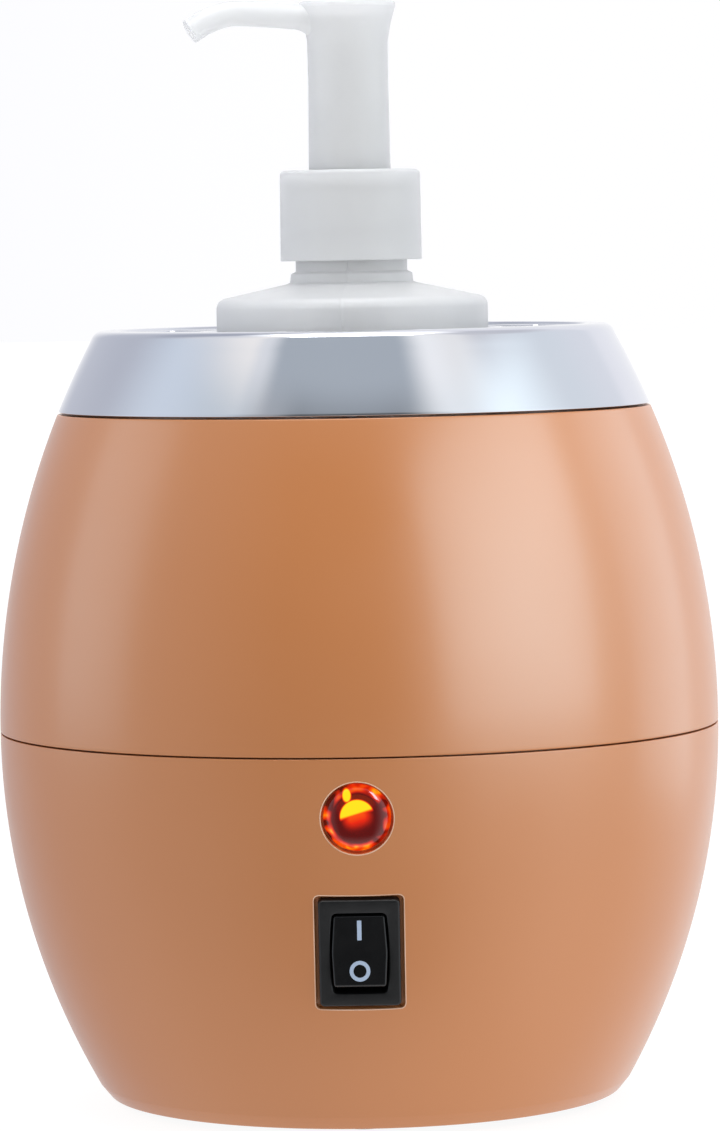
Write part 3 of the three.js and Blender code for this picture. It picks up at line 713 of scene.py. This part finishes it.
def lower_housing():
    angles = even_angles(240)
    z_rows = [4.0] + [5.5 + 1.5 * i for i in range(44)] + [71.5, WAIST_Z - SEAM - 0.3]
    shape = Shape()
    light = pocket(LIGHT_PANEL, LIGHT_EDGE, -2.2, RECESS_FILLET, RECESS_FILLET)
    switch = pocket(SWITCH_PANEL, SWITCH_EDGE, SWITCH_FLOOR, RECESS_FILLET, RECESS_FILLET)
    gland = pocket(GLAND_FRAME, round_outline(8.5, 72), 0.0, 0.4)
    front = ((12, 45), (-9, 9), [light[0], switch[0]])
    back = ((1, 17), (112, 128), [gland[0]])
    grid = patched_barrel(shape, z_rows, angles, [front, back])
    for rings in (light, switch, gland):
        shape.skin(rings)
        shape.add(rings[-1], [list(range(len(rings[-1])))])
    lip_r = WAIST_R - WALL - 0.35
    seam = WAIST_Z - SEAM
    upper = rounded([
        (barrel_r(z_rows[-1]), z_rows[-1], 0), (barrel_r(seam), seam, 0.25), (lip_r, seam, 0),
        (lip_r, seam + 3, 0.3), (lip_r - 1.5, seam + 3, 0.3), (lip_r - 1.5, seam - 1.4, 0),
        (barrel_r(seam - 3) - WALL, seam - 3, 0),
    ], closed=False)
    lower = rounded([
        (GLAND_WALL_R, 27, 0), (GLAND_WALL_R, 7.6, 0), (45.4, 7.6, 0), (45.4, 5.3, 0), (47.8, 5.3, 0),
        (47.8, 1.5, 0.25), (49.9, 1.5, 0.7), (barrel_r(4.0), 4.0, 0),
    ], closed=False)
    shape.skin([grid[-1]] + [circle(r, z, angles) for r, z in upper[1:]])
    inner = barrel_line(seam - 3, 30, WALL, 14)
    shape.skin([circle(r, z, angles) for r, z in inner + lower[:-1]] + [grid[0]])
    ob = loose("lower_shell", shape.mesh("lower_shell"))
    ways = [
        placed(bar(outline(13.6, 19.6, 0.5), -9, -2.3), SWITCH_PANEL),
        placed(rod(4.5, -9, -2.1), LIGHT_PANEL),
        placed(rod(5.0, -9, 0.1), GLAND_FRAME),
    ]
    for way in ways:
        combined(ob, way.mesh("way"), "DIFFERENCE")
    smooth_outside(ob.data, 3.9, WAIST_Z - SEAM)
    return ob


def lip(panel, edge, name):
    """A thin strip round a recess's edge, which carries a painted highlight in a pale material."""
    rings = []
    for out, up in ((0.02, -0.16), (0.02, -0.05), (0.1, 0.03), (0.2, 0.03), (0.27, -0.06)):
        ring = []
        for p, n in edge:
            q = p + n * out
            ring.append(panel @ Vector((q.x, q.y, surface_height(panel, q.x, q.y) + up)))
        rings.append(ring)
    return Shape().skin(rings + [rings[0]]).mesh(name, 60)


def upper_housing():
    angles = even_angles(240)
    seam = WAIST_Z + SEAM
    bottom, top = DECK_Z
    deck_r, hole_r = 56.5, 31
    shape = Shape()
    side = [(r, z, 0) for r, z in barrel_line(seam + 0.6, 133.9, 0, 34)]
    outside = rounded(
        [(SEAM_INNER_R, seam, 0), (barrel_r(seam), seam, 0.25)] + side
        + [(barrel_r(top), top, 0.35), (deck_r, top, 0)],
        closed=False,
    )
    shape.skin([circle(r, z, angles) for r, z in outside])
    hole = rounded([
        (hole_r, top, 0), (29.7, top, 0.3), (29.7, bottom, 0.3), (hole_r, bottom, 0),
    ], closed=False)
    shape.skin([circle(r, z, angles) for r, z in hole])
    inner = [(barrel_r(bottom) - WALL, bottom)] + barrel_line(130, seam + 0.3, WALL, 12)
    shape.skin([circle(r, z, angles) for r, z in inner + [(SEAM_INNER_R, seam)]])
    slots = [sector_outline(*VENT_R, a, VENT_SPAN, 0.6) for a in VENT_ANGLES]
    for border_r, z in ((deck_r, top), (inner[0][0], bottom)):
        sheet_with_holes(shape, circle(border_r, z, angles), circle(hole_r, z, angles),
                         [ring_of(s, 0, z) for s in slots], z)
    for s in slots:
        shape.skin([ring_of(s, 0, top), ring_of(s, 0, bottom)])
    mesh = shape.mesh("upper_shell")
    smooth_outside(mesh, seam + 0.3, 134.2)
    return mesh


def top_ring():
    angles = even_angles(240)
    shape = Shape()
    low, high = RING_Z
    inner_r, outer_r = 29.9, 44.9
    under_inner_r, under_outer_r = 30.2, 46.4
    outside = rounded(
        [(barrel_r(low) - RING_WALL, low, 0), (barrel_r(low), low, 0.3)]
        + [(r, z, 0) for r, z in barrel_line(low + 0.6, 147.4, 0, 10)]
        + [(barrel_r(high) + 0.1, high, 2.3), (45.6, high, 0.35)]
        + [(45.2, PLATE_TOP_Z, 0.3), (outer_r, PLATE_TOP_Z, 0)],
        closed=False, steps=8,
    )
    inner = barrel_line(146, low, RING_WALL, 6)
    shape.skin([circle(r, z, angles) for r, z in [(under_outer_r, PLATE_BOTTOM_Z)] + inner + outside[1:]])
    mouth = rounded([
        (under_inner_r, PLATE_BOTTOM_Z, 0), (under_inner_r, 138.5, 0.4), (BOTTLE_HOLE_R, 138.5, 0.4),
        (BOTTLE_HOLE_R, PLATE_TOP_Z, 1.1), (inner_r, PLATE_TOP_Z, 0),
    ], closed=False)
    shape.skin([circle(r, z, angles) for r, z in mouth])
    slots = [sector_outline(*VENT_R, a, VENT_SPAN, 1.2) for a in VENT_ANGLES]
    fillet = 0.5
    tops = []
    for s in slots:
        rings = []
        for across, down in quarter_turn(4):
            rings.append(ring_of(s, fillet * across, PLATE_TOP_Z - fillet * down))
        rings.append(ring_of(s, 0, PLATE_BOTTOM_Z))
        shape.skin(rings)
        tops.append(rings[0])
    sheet_with_holes(shape, circle(outer_r, 0, angles), circle(inner_r, 0, angles), tops, PLATE_TOP_Z)
    sheet_with_holes(shape, circle(under_outer_r, 0, angles), circle(under_inner_r, 0, angles),
                     [ring_of(s, 0, 0) for s in slots], PLATE_BOTTOM_Z)
    return shape.mesh("plated_ring")


piece("lower_shell", lower_housing(), "warmer", "caramel_plastic", ["lower_housing"])
# The strips round both recesses wear the pale caramel, a painted highlight on their rims.
piece("light_lip", lip(LIGHT_PANEL, LIGHT_EDGE, "light_lip"), "warmer", "caramel_plastic", material=RIM_PAINTED_HIGHLIGHT)
piece("switch_lip", lip(SWITCH_PANEL, SWITCH_EDGE, "switch_lip"), "warmer", "caramel_plastic", material=RIM_PAINTED_HIGHLIGHT)
piece("upper_shell", upper_housing(), "warmer", "caramel_plastic", ["upper_housing"])
piece("plated_ring", top_ring(), "warmer", "chrome_plating", ["top_ring"])


# --- The base, the cup and the gland ----------------------------------------------------------------

def base_plate():
    shape = Shape()
    angles = even_angles(180)
    low, high = 2.6, 5.0
    rim_r, flat_r = 47.5, 47.0
    fillet = 0.3
    corners = [(flat_r, low, 0), (rim_r, low, 0.4), (rim_r, high, 0.4), (flat_r, high, 0)]
    border = rounded(corners, closed=False)
    shape.skin([circle(r, z, angles) for r, z in border])
    slots = []
    for angle in even_angles(8, 22.5):
        turn = Matrix.Rotation(math.radians(angle), 2)
        slots.append([(turn @ (p + Vector((27, 0))), turn @ n) for p, n in outline(14, 2.6, 1.25)])
    wells = []
    for angle in even_angles(4, 45):
        centre = Matrix.Rotation(math.radians(angle), 2) @ SCREW_SEAT.xy
        wells.append([(p + centre, n) for p, n in round_outline(3.4, 36)])
    under = []
    for s in slots + wells:
        rings = []
        for across, up in quarter_turn(3):
            rings.append(ring_of(s, fillet * across, low + fillet * up))
        rings.append(ring_of(s, 0, high))
        shape.skin(rings)
        under.append(rings[0])
    for z, holes in ((low, under), (high, [ring_of(s, 0, 0) for s in slots + wells])):
        sheet_with_holes(shape, circle(flat_r, 0, angles), None, holes, z)
    return shape.mesh("bottom_cover")


def rubber_foot():
    return lathe([
        (0, 0, 0), (6, 0, 0.9), (6, 2.3, 0.3), (2.05, 2.3, 0), (2.05, 5.3, 0), (2.9, 5.3, 0.3),
        (1.6, 7.1, 0.4), (0, 7.1, 0),
    ], 48)


def screw(head_r, head_t, shank_r, length):
    """A pan-head screw with a cross in its head, which faces down."""
    turned = lathe([
        (0, -head_t, 0), (head_r * 0.8, -head_t, head_t * 0.6), (head_r, -head_t * 0.3, 0.3),
        (head_r, 0, 0), (shank_r, 0, 0), (shank_r, length - shank_r, 0), (0, length, 0),
    ], 40)
    ob = loose("screw", turned.mesh("screw"))
    for width, height in ((2.6, 0.55), (0.55, 2.6)):
        cut = bar(outline(width, height, 0.12, 2, 1), -head_t - 1, -head_t + 0.8)
        combined(ob, cut.mesh("cut"), "DIFFERENCE")
    mesh = ob.data
    bpy.data.objects.remove(ob)
    return mesh


def heating_cup():
    floor, flange = 29.2, 134.8
    return lathe([
        (0, floor - 2, 0), (28.9, floor - 2, 1.2), (28.9, flange, 0.3), (34.8, flange, 0.2),
        (34.8, flange + 1.2, 0.3), (27.4, flange + 1.2, 0.8), (27.4, floor, 1.2), (0, floor, 0),
    ], 160).mesh("warming_cup")


def strain_gland():
    turned = lathe([
        (3.5, -7, 0.2), (6, -7, 0.4), (6, -3.8, 0.3), (4.7, -3.8, 0), (4.7, 0.3, 0), (6.6, 0.3, 0.2),
        (6.6, 2.3, 0.9), (3.5, 2.3, 0.5),
    ], 64, closed=True)
    return placed(turned, GLAND_FRAME).mesh("cord_grommet")


piece("bottom_cover", base_plate(), "warmer", "black_plastic", ["base_plate"])
piece("warming_cup", heating_cup(), "warmer", "cup_aluminium", ["heating_cup"])
piece("cord_grommet", strain_gland(), "warmer", "foot_rubber", ["cord_gland"])
for i, angle in enumerate(even_angles(4)):
    spot = Matrix.Rotation(math.radians(angle), 4, "Z") @ Matrix.Translation((FOOT_CIRCLE_R, 0, 0))
    mesh = placed(rubber_foot(), spot).mesh(f"soft_foot_{i + 1}")
    piece(f"soft_foot_{i + 1}", mesh, "warmer", "foot_rubber", [f"rubber_foot_{i + 1}"])
base_screw = screw(2.9, 1.6, 1.5, 12)
for i, angle in enumerate(even_angles(4, 45)):
    mesh = base_screw.copy()
    turn = Matrix.Rotation(math.radians(angle), 4, "Z")
    mesh.transform(turn @ Matrix.Translation(SCREW_SEAT * MM))
    piece(f"cover_screw_{i + 1}", mesh, "warmer", "steel", [f"base_screw_{i + 1}"])


# --- The pilot light --------------------------------------------------------------------------------

def facets(profile, count, angles):
    """Rings of a profile with flat facets round it."""
    rings = []
    for r, z in profile:
        ring = []
        for a in angles:
            turn = (a % (360 / count)) - 180 / count
            flat = r * math.cos(math.pi / count) / math.cos(math.radians(turn))
            ring.append((flat * math.sin(math.radians(a)), -flat * math.cos(math.radians(a)), z))
        rings.append(ring)
    return rings


def pilot_lens():
    angles = even_angles(96)
    tail, seat, rim = -7.2, -1.9, -1.3
    dome_r, dome_rise = 5.95, 1.6
    dome = []
    for degrees in range(4, 90, 5):
        a = math.radians(degrees)
        dome.append((dome_r * math.cos(a), rim + dome_rise * math.sin(a)))
    outside = [(3.3, tail), (4.1, tail), (4.1, seat), (6.1, seat), (6.2, seat + 0.1), (6.2, rim - 0.15),
               (6.1, rim - 0.03)] + dome + [(0.0, rim + dome_rise)]
    shape = Shape().skin([circle(r, z, angles) for r, z in outside])
    hollow = facets([(3.3, -2.3), (2.9, -1.5), (1.6, -0.75), (0.0, -0.7)], 12, angles)
    shape.skin(hollow)
    shape.skin([circle(3.3, tail, angles), hollow[0]])
    return placed(shape, LIGHT_PANEL).mesh("pilot_lens", 20)


def neon_lamp():
    turned = lathe([(0, -11.9, 0), (2, -11.9, 0.3), (2, -2.6, 1.2), (0, -1.2, 0)], 48)
    return placed(turned, LIGHT_PANEL).mesh("neon_lamp")


piece("pilot_lens", pilot_lens(), "warmer", "red_lens", ["indicator_lens"])
piece("neon_lamp", neon_lamp(), "warmer", "neon_glass", ["neon_bulb"])


# --- The rocker switch ------------------------------------------------------------------------------

def bulged(ring, half=8, amount=0.45):
    """Bows a ring's sides outwards between its ends."""
    made = []
    for x, y, z in ring:
        swell = amount * max(0.0, 1 - (y / half) ** 2)
        made.append((x * (1 + swell / 5), y, z))
    return made


def switch_body():
    front = BEZEL_FRONT
    back = SWITCH_FLOOR + 0.3
    front_fillet, mouth_fillet, chamfer = 0.45, 0.25, 0.15
    body = outline(12.8, 18.8, 0.5)
    bezel = outline(15, 21, 0.9)
    opening = outline(9.9, 15.9, 0.8)
    rings = [ring_of(body, 0, -15.2), ring_of(body, 0, back)]
    rings += [ring_of(bezel, -chamfer, back), ring_of(bezel, 0, back + chamfer)]
    for down, inwards in quarter_turn(5):
        rings.append(ring_of(bezel, -front_fillet * inwards, front - front_fillet * down))
    for across, down in quarter_turn(3):
        rings.append(bulged(ring_of(opening, mouth_fillet * across, front - mouth_fillet * down)))
    for z in (-5, -13.7):
        rings.append(bulged(ring_of(opening, 0, z)))
    return placed(Shape().skin(rings, ends=True), SWITCH_PANEL).mesh("switch_frame")


def tipped(shape, degrees, depth):
    turn = Matrix.Rotation(math.radians(degrees), 4, "X")
    lift = Matrix.Translation((0, 0, depth))
    return placed(placed(shape, lift @ turn @ lift.inverted()), SWITCH_PANEL)


def rocker_profile():
    """The rocker seen from its side, as (y, z) points."""
    def arc(r, first, last, count):
        spots = [math.radians(first + (last - first) * k / count) for k in range(count + 1)]
        return [(r * math.cos(a), ROCKER_PIVOT + r * math.sin(a), 0) for a in spots]

    right = arc(ROCKER_R, -25, 22.5, 8)
    left = arc(ROCKER_LOW_R, 157.5, 205, 8)
    tip = math.radians(ROCKER_TIP_ANGLE)
    reach, rise = math.cos(tip), math.sin(tip)
    points = right + [(ROCKER_R * reach, ROCKER_PIVOT + ROCKER_R * rise, 0.55), (0, ROCKER_MIDDLE_Z, 5.0)]
    points += [(-ROCKER_LOW_R * reach, ROCKER_PIVOT + ROCKER_R * rise, 0.9)] + left
    points += [(-4.5, -4.6, 0.5), (-1.8, -5.6, 0.5), (1.8, -5.6, 0.5), (4.5, -4.6, 0.5)]
    return rounded(points)


def half_width(y):
    return 4.62 + 0.5 * max(0.0, 1 - (y / 7.4) ** 2)


def rocker():
    profile = [Vector(p) for p in rocker_profile()]
    count = len(profile)
    normals = []
    for i in range(count):
        along = profile[(i + 1) % count] - profile[i - 1]
        normals.append(Vector((along.y, -along.x)).normalized())
    fillet = 0.4
    half = []
    for inset, narrowing in quarter_turn(5):
        ring = []
        for p, n in zip(profile, normals):
            q = p - n * (fillet * inset)
            ring.append((half_width(p.x) - fillet * narrowing, q.x, q.y))
        half.append(ring)
    rings = half + [[(-x, y, z) for x, y, z in ring] for ring in reversed(half)]
    return tipped(Shape().skin(rings, ends=True), -ROCKER_TILT, ROCKER_PIVOT).mesh("rocker_cap", 40)


def rocker_top(y):
    """The height of the rocker's top, which rises from its middle to its ends."""
    end = ROCKER_R if y > 0 else ROCKER_LOW_R
    climb = (ROCKER_TIP_Z - ROCKER_MIDDLE_Z) / (end * math.cos(math.radians(ROCKER_TIP_ANGLE)))
    return ROCKER_MIDDLE_Z + abs(y) * climb


def printed(rings):
    """A thin print that lies on one half of the rocker's top."""
    thick = 0.04
    upper = [[(p[0], p[1], rocker_top(p[1]) + thick) for p in ring] for ring in rings]
    lower = [[(p[0], p[1], rocker_top(p[1]) - thick) for p in ring] for ring in rings]
    return upper, lower


def on_mark():
    upper, lower = printed([[(p.x, p.y + ON_MARK_Y) for p, _ in outline(0.8, 3.75, 0.08, 2, 2)]])
    return tipped(Shape().skin([lower[0], upper[0]], ends=True), -ROCKER_TILT, ROCKER_PIVOT).mesh("mark_on")


def off_mark():
    rims = []
    for r in (1.9, 1.2):
        rims.append([(x, OFF_MARK_Y - y) for x, y, _ in circle(r, 0, even_angles(48))])
    upper, lower = printed(rims)
    rings = [lower[1], lower[0], upper[0], upper[1], lower[1]]
    return tipped(Shape().skin(rings), -ROCKER_TILT, ROCKER_PIVOT).mesh("mark_off")


piece("switch_frame", switch_body(), "warmer", "black_plastic", ["switch_body"])
piece("rocker_cap", rocker(), "rocker", "black_plastic", ["rocker"], GLOSS)
piece("mark_on", on_mark(), "rocker", "black_plastic", material=PRINT)
piece("mark_off", off_mark(), "rocker", "black_plastic", material=PRINT)


# --- The bottle, its closure and the pump -----------------------------------------------------------

def helix(radius, section, z0, first, last, count=90):
    """A thread: a round section swept round the axis, from one turn to another, thinner at its ends."""
    rings = []
    for k in range(count + 1):
        turn = first + (last - first) * k / count
        fade = min(1.0, 6 * k / count, 6 * (1 - k / count)) * 0.85 + 0.15
        a = 2 * math.pi * turn
        ring = []
        for s in range(10):
            b = 2 * math.pi * s / 10
            r = radius + section * fade * math.cos(b)
            z = z0 + THREAD_PITCH * turn + section * fade * math.sin(b)
            ring.append((r * math.cos(a), r * math.sin(a), z))
        rings.append(ring)
    return Shape().skin(rings, ends=True)


def bottle():
    seams = [PARTING + d for d in (-0.7, -0.3, 0.3, 0.7)]
    angles = sorted(even_angles(144) + [s % 360 for s in seams] + [s + 180 for s in seams])
    profile = rounded([
        (0, 31, 0), (18, 31, 1.5), (20.6, 29.6, 1), (BOTTLE_R, 29.6, 2.6), (BOTTLE_R, 156.0, 2.1),
        (12.6, 158.95, 0.5), (12.0, 159.2, 0.2), (11.8, 160.9, 0.4), (10.85, 161.3, 0.3),
        (10.8, 176.5, 0.3), (9.9, 176.5, 0.2), (9.9, 159.6, 0.6), (11, 157.8, 0.6), (25.2, 155.0, 1.6),
        (25.2, 30.9, 1.8), (21.0, 30.9, 1), (18.2, 32.2, 1), (0, 32.2, 0),
    ], closed=False)
    shape = Shape()
    rings = []
    for r, z in profile:
        outer = r > 26 or (z > 155.5 and r > 10.5)
        ring = []
        for a in angles:
            off = min(abs((a - PARTING + 90) % 180 - 90), 1.0)
            ridge = 0.09 if outer and off < 0.5 else 0.0
            ring += circle(r + ridge, z, [a])
        rings.append(ring)
    shape.skin(rings)
    ob = loose("sauce_bottle", shape.mesh("sauce_bottle"))
    combined(ob, helix(10.9, 0.8, THREAD_Z, 0, 1.5).mesh("thread"), "UNION")
    return ob


def closure():
    bottom, top = 163.4, 180.9
    turned = lathe([
        (12.4, bottom, 0.2), (13.75, bottom, 0.3), (13.6, top, 0.9), (8.48, top, 0.35),
        (8.48, top - 1.4, 0.2), (12.4, top - 1.4, 0.4),
    ], 120, closed=True)
    ob = loose("screw_closure", turned.mesh("screw_closure"))
    combined(ob, helix(12.15, 0.7, THREAD_Z + THREAD_PITCH / 2, -1.13, 0.37).mesh("thread"), "UNION")
    return ob


def collar():
    shape = Shape()
    profile = rounded([
        (5.4, 165.9, 0), (6.8, 165.9, 0), (6.8, 194.5, 0.35), (5.2, 194.5, 0.3), (5.2, 183, 0), (3.4, 183, 0),
        (3.4, 180.8, 0), (5.4, 180.8, 0),
    ])
    edges = [(centre + off) % 360 for centre in COLLAR_RIBS for off in (-5.1, -3.1, 3.1, 5.1)]
    angles = sorted(even_angles(90) + edges)
    rings = []
    for r, z in profile + [profile[0]]:
        ring = []
        for a in angles:
            off = min(abs((a - centre + 180) % 360 - 180) for centre in COLLAR_RIBS)
            rib = 0.1 if r > 6.4 and z > 182 and off < 4 else 0.0
            ring += circle(r + rib, z, [a])
        rings.append(ring)
    return shape.skin(rings).mesh("pump_collar")


def pump_body():
    return lathe([
        (2.8, 104, 0), (3.8, 104, 0.2), (3.8, 115.5, 0.5), (6.3, 119.5, 0.5), (6.3, 163.5, 0.5),
        (9.5, 164.5, 0.3), (9.5, 177.9, 0.2), (11.9, 177.9, 0.2), (11.9, 179.1, 0.2), (8.6, 179.1, 0.2),
        (8.6, 165.5, 0.3), (5.2, 165.5, 0.2), (5.2, 120, 0), (2.4, 120, 0), (2.4, 115.2, 0.3),
        (1.3, 113.6, 0), (1.3, 112.3, 0), (2.8, 112.3, 0),
    ], 72, closed=True).mesh("pump_barrel")


def dip_tube():
    shape = Shape()
    angles = even_angles(48)
    rings = []
    for r, top in ((2.5, True), (2.5, False), (1.7, False), (1.7, True), (2.5, True)):
        ring = []
        for x, y, _ in circle(r, 0, angles):
            ring.append((x, y, 112.0 if top else 34.6 - 0.7 * x))
        rings.append(ring)
    return shape.skin(rings).mesh("suction_tube")


def pump_stem():
    return lathe([
        (0, 143.7, 0), (4.2, 143.7, 0.2), (4.2, 145.2, 0.2), (3, 145.2, 0), (3, 153.7, 0), (4, 153.7, 0.2),
        (4, 155.2, 0.2), (3, 155.2, 0), (3, 205, 0.3), (1.6, 205, 0), (1.6, 146.5, 0), (0, 146.5, 0),
    ], 48).mesh("pump_stem")


def spout_points(count):
    """Points along the spout's smooth path, as (distance from the axis, height)."""
    knots = [Vector(p) for p in SPOUT_PATH]
    knots = [2 * knots[0] - knots[1]] + knots + [2 * knots[-1] - knots[-2]]
    made = []
    for i in range(1, len(knots) - 2):
        a, b, c, d = knots[i - 1:i + 3]
        for k in range(count):
            t = k / count
            made.append(0.5 * ((2 * b) + (c - a) * t + (2 * a - 5 * b + 4 * c - d) * t ** 2
                               + (3 * b - a - 3 * c + d) * t ** 3))
    return made + [knots[-2]]


def spout(radius, flare, start=0.0, beyond=0.0):
    """A round tube along the spout's path, whose root spreads into the head below and beside it."""
    path = [p for p in spout_points(8) if p.x >= start]
    path[0] = Vector((start, path[0].y)) if start else path[0]
    if beyond:
        path.append(path[-1] + (path[-1] - path[-2]).normalized() * beyond)
    rings = []
    for i, p in enumerate(path):
        along = (path[min(i + 1, len(path) - 1)] - path[max(i - 1, 0)]).normalized()
        up = Vector((-along.y, along.x))
        reach = max(0.0, 1 - max(0.0, p.x - 7.9) / 2.6)
        swell = flare * (1 - math.sqrt(max(0.0, 1 - reach ** 2))) if p.x > 6.6 else 0.0
        ring = []
        for k in range(40):
            a = 2 * math.pi * k / 40
            side, rise = math.cos(a), math.sin(a)
            weight = 0.10 if rise > 0 else 0.10 + 0.90 * -rise
            weight = max(weight, 0.45 * abs(side))
            r = radius + swell * weight
            ring.append((-(p.x + up.x * r * rise), r * side, p.y + up.y * r * rise))
        rings.append(ring)
    turn = Matrix.Rotation(math.radians(SPOUT_TURN), 4, "Z")
    return placed(Shape().skin(rings, ends=True), turn)


def head():
    low = 178.2
    ob = loose("pump_head", lathe([
        (7.2, low, 0.2), (7.98, low, 0.25), (7.75, 198, 20), (7.85, 206.0, 8), (8.45, 209.4, 6),
        (9.35, 212.4, 0.4), (9.3, 213.5, 0.75), (0, 213.5, 0), (0, 211.2, 0), (8, 211.2, 0.8),
        (7.1, 207.5, 1), (7, 198, 0),
    ], 128, closed=True).mesh("pump_head"))
    post = lathe([(0, 196, 0), (4.6, 196, 0.3), (4.6, 212, 0), (0, 212, 0)], 64)
    for tool, operation in (
        (post, "UNION"),
        (spout(SPOUT_R, 1.7, 3.0), "UNION"),
        (rod(3.3, 195, 205.3), "DIFFERENCE"),
        (spout(SPOUT_BORE_R, 0.0, 0.0, 1.0), "DIFFERENCE"),
        (rod(1.55, 205, 210.9, 32), "DIFFERENCE"),
    ):
        combined(ob, tool.mesh("tool"), operation, 35)
    return ob


piece("sauce_bottle", bottle(), "bottle", "milky_pp", ["bottle"])
piece("screw_closure", closure(), "closure", "milky_pp", ["closure"])
piece("pump_collar", collar(), "pump", "milky_pp", ["collar"])
piece("pump_barrel", pump_body(), "pump", "milky_pp", ["pump_housing"])
piece("suction_tube", dip_tube(), "pump", "milky_pp", ["dip_tube"])
piece("pump_stem", pump_stem(), "head", "milky_pp", ["stem"])
piece("pump_head", head(), "head", "milky_pp", ["actuator"])


# --- The studio -------------------------------------------------------------------------------------

def studio_world():
    """Light from all round, in bands by the angle from the front, with a pale ground below them and a
    bright ceiling above."""
    world = bpy.data.worlds.new("studio")
    bpy.context.scene.world = world
    world.use_nodes = True
    tree = world.node_tree
    place = new_node(tree, "TexCoord").outputs["Generated"]
    split = new_node(tree, "SeparateXYZ", vector=place).outputs
    around = math_node(tree, "ARCTAN2", split["X"], math_node(tree, "MULTIPLY", split["Y"], -1))
    turn = new_node(tree, "MapRange", value=around, from_min=-math.pi, from_max=math.pi).outputs["Result"]

    def band(stops):
        """Light by the angle from the front, in degrees, positive to the right. A ramp's colours end at 1,
        so they are halved here and the world has a strength of 2."""
        halved = [((angle + 180) / 360, [c / 2 for c in color]) for angle, color in stops]
        return color_ramp(tree, turn, halved, "EASE")

    def blend(low, high, start, end):
        """Goes from one light to another between two elevations, in degrees."""
        rise = smooth_step(tree, split["Z"], math.sin(math.radians(start)), math.sin(math.radians(end)))
        return new_node(tree, "Mix", {"data_type": "RGBA"}, factor=rise, a=low, b=high).outputs["Result"]

    grey = (0.50, 0.545, 0.60)
    upper = band([
        (-180, (1.0, 1.0, 1.04)), (-150, (0.50, 0.52, 0.60)), (-125, (0.50, 0.52, 0.60)),
        (-90, (0.88, 0.89, 0.93)), (-56, (1.12, 1.08, 1.05)), (-48, (0.92, 0.93, 0.96)), (-37, grey),
        (25, grey), (43, (1.12, 1.12, 1.13)), (58, (1.04, 1.03, 1.03)), (76, (0.74, 0.74, 0.79)),
        (110, (0.69, 0.70, 0.76)), (139, (0.76, 0.76, 0.82)), (142, (0.98, 0.98, 1.04)),
        (180, (1.0, 1.0, 1.04)),
    ])
    dim = (0.12, 0.125, 0.13)
    lower = band([
        (-180, (1.0, 1.0, 1.02)), (-150, (0.62, 0.64, 0.72)), (-125, (0.60, 0.62, 0.70)),
        (-90, (0.78, 0.85, 0.95)), (-56, (0.68, 0.74, 0.8)), (-38, (0.45, 0.46, 0.48)), (-22, dim),
        (18, dim), (48, (1.0, 1.05, 1.08)), (70, (1.2, 1.32, 1.38)), (105, (0.85, 0.9, 0.96)),
        (132, (0.9, 0.92, 0.98)), (142, (1.0, 1.0, 1.05)), (180, (1.0, 1.0, 1.02)),
    ])
    ground = band([(-180, (0.9, 0.9, 0.92)), (180, (0.9, 0.9, 0.92))])
    ceiling = band([(-180, (1.7, 1.7, 1.7)), (180, (1.7, 1.7, 1.7))])
    light = blend(blend(blend(ground, lower, -56, -34), upper, 36, 50), ceiling, 62, 78)
    set_sockets(tree, tree.nodes["Background"], {"color": light, "strength": 2.0})


def softbox(name, place, aim, size, power, only=None, color=(1, 1, 1), gloss_only=True):
    """An area light. With a list of pieces it lights only those, and either their gloss or their colour."""
    data = bpy.data.lights.new(name, "AREA")
    data.color = color
    data.shape = "RECTANGLE"
    data.size, data.size_y = size
    data.energy = power
    ob = bpy.data.objects.new(name, data)
    bpy.context.scene.collection.objects.link(ob)
    ob.location = place
    ob.rotation_euler = (Vector(aim) - Vector(place)).to_track_quat("-Z", "Y").to_euler()
    ob.visible_camera = False
    if only:
        group = bpy.data.collections.new(name + "_lit")
        for lit in only:
            group.objects.link(bpy.data.objects[lit])
        ob.light_linking.receiver_collection = group
        ob.visible_diffuse = not gloss_only
        ob.visible_glossy = gloss_only
        ob.visible_transmission = gloss_only


studio_world()
shells = ["lower_shell", "upper_shell"]
cool = (0.68, 0.98, 1.1)
softbox("softbox_right", (1.55, -1.12, 0.75), (0, 0, 0.09), (2.1, 1.6), 46, shells, cool)
softbox("rim_right", (1.7, 0.75, 0.4), (0, 0, 0.07), (1.1, 1.4), 8, shells, cool)
softbox("softbox_left", (-1.85, 0.1, 0.6), (0, 0, 0.09), (1.1, 1.4), 7, shells, cool)
softbox("key_right", (1.5, -0.9, 0.3), (0, 0, 0.07), (1.0, 1.0), 7.5, shells, gloss_only=False)
softbox("lens_spark", (0.62, -0.95, 0.62), (0, -0.068, 0.062), (0.22, 0.5), 4, ["pilot_lens"],
        (0.85, 0.76, 1.0))
softbox("overhead", (0.0, -0.25, 1.6), (0, 0, 0.1), (1.0, 0.8), 11)
milky = ["pump_head", "pump_stem", "pump_collar", "screw_closure", "sauce_bottle"]
softbox("pump_fill", (-0.3, -1.6, 0.6), (0, 0, 0.18), (1.2, 1.2), 9, milky, gloss_only=False)

floor_z = -0.05
floor_mesh = Shape().skin([circle(r, floor_z, even_angles(96)) for r in (0, 9000)]).mesh("studio_floor")
floor = loose("studio_floor", floor_mesh)
floor.data.materials.append(look("studio_floor", (0.12, 0.12, 0.122), 0.9, specular_ior_level=0.1,
                                 emission_color=(1.0, 1.0, 1.0, 1), emission_strength=0.93))
floor.visible_glossy = False

view = bpy.context.scene.view_settings
view.view_transform = "Standard"
view.look = "None"
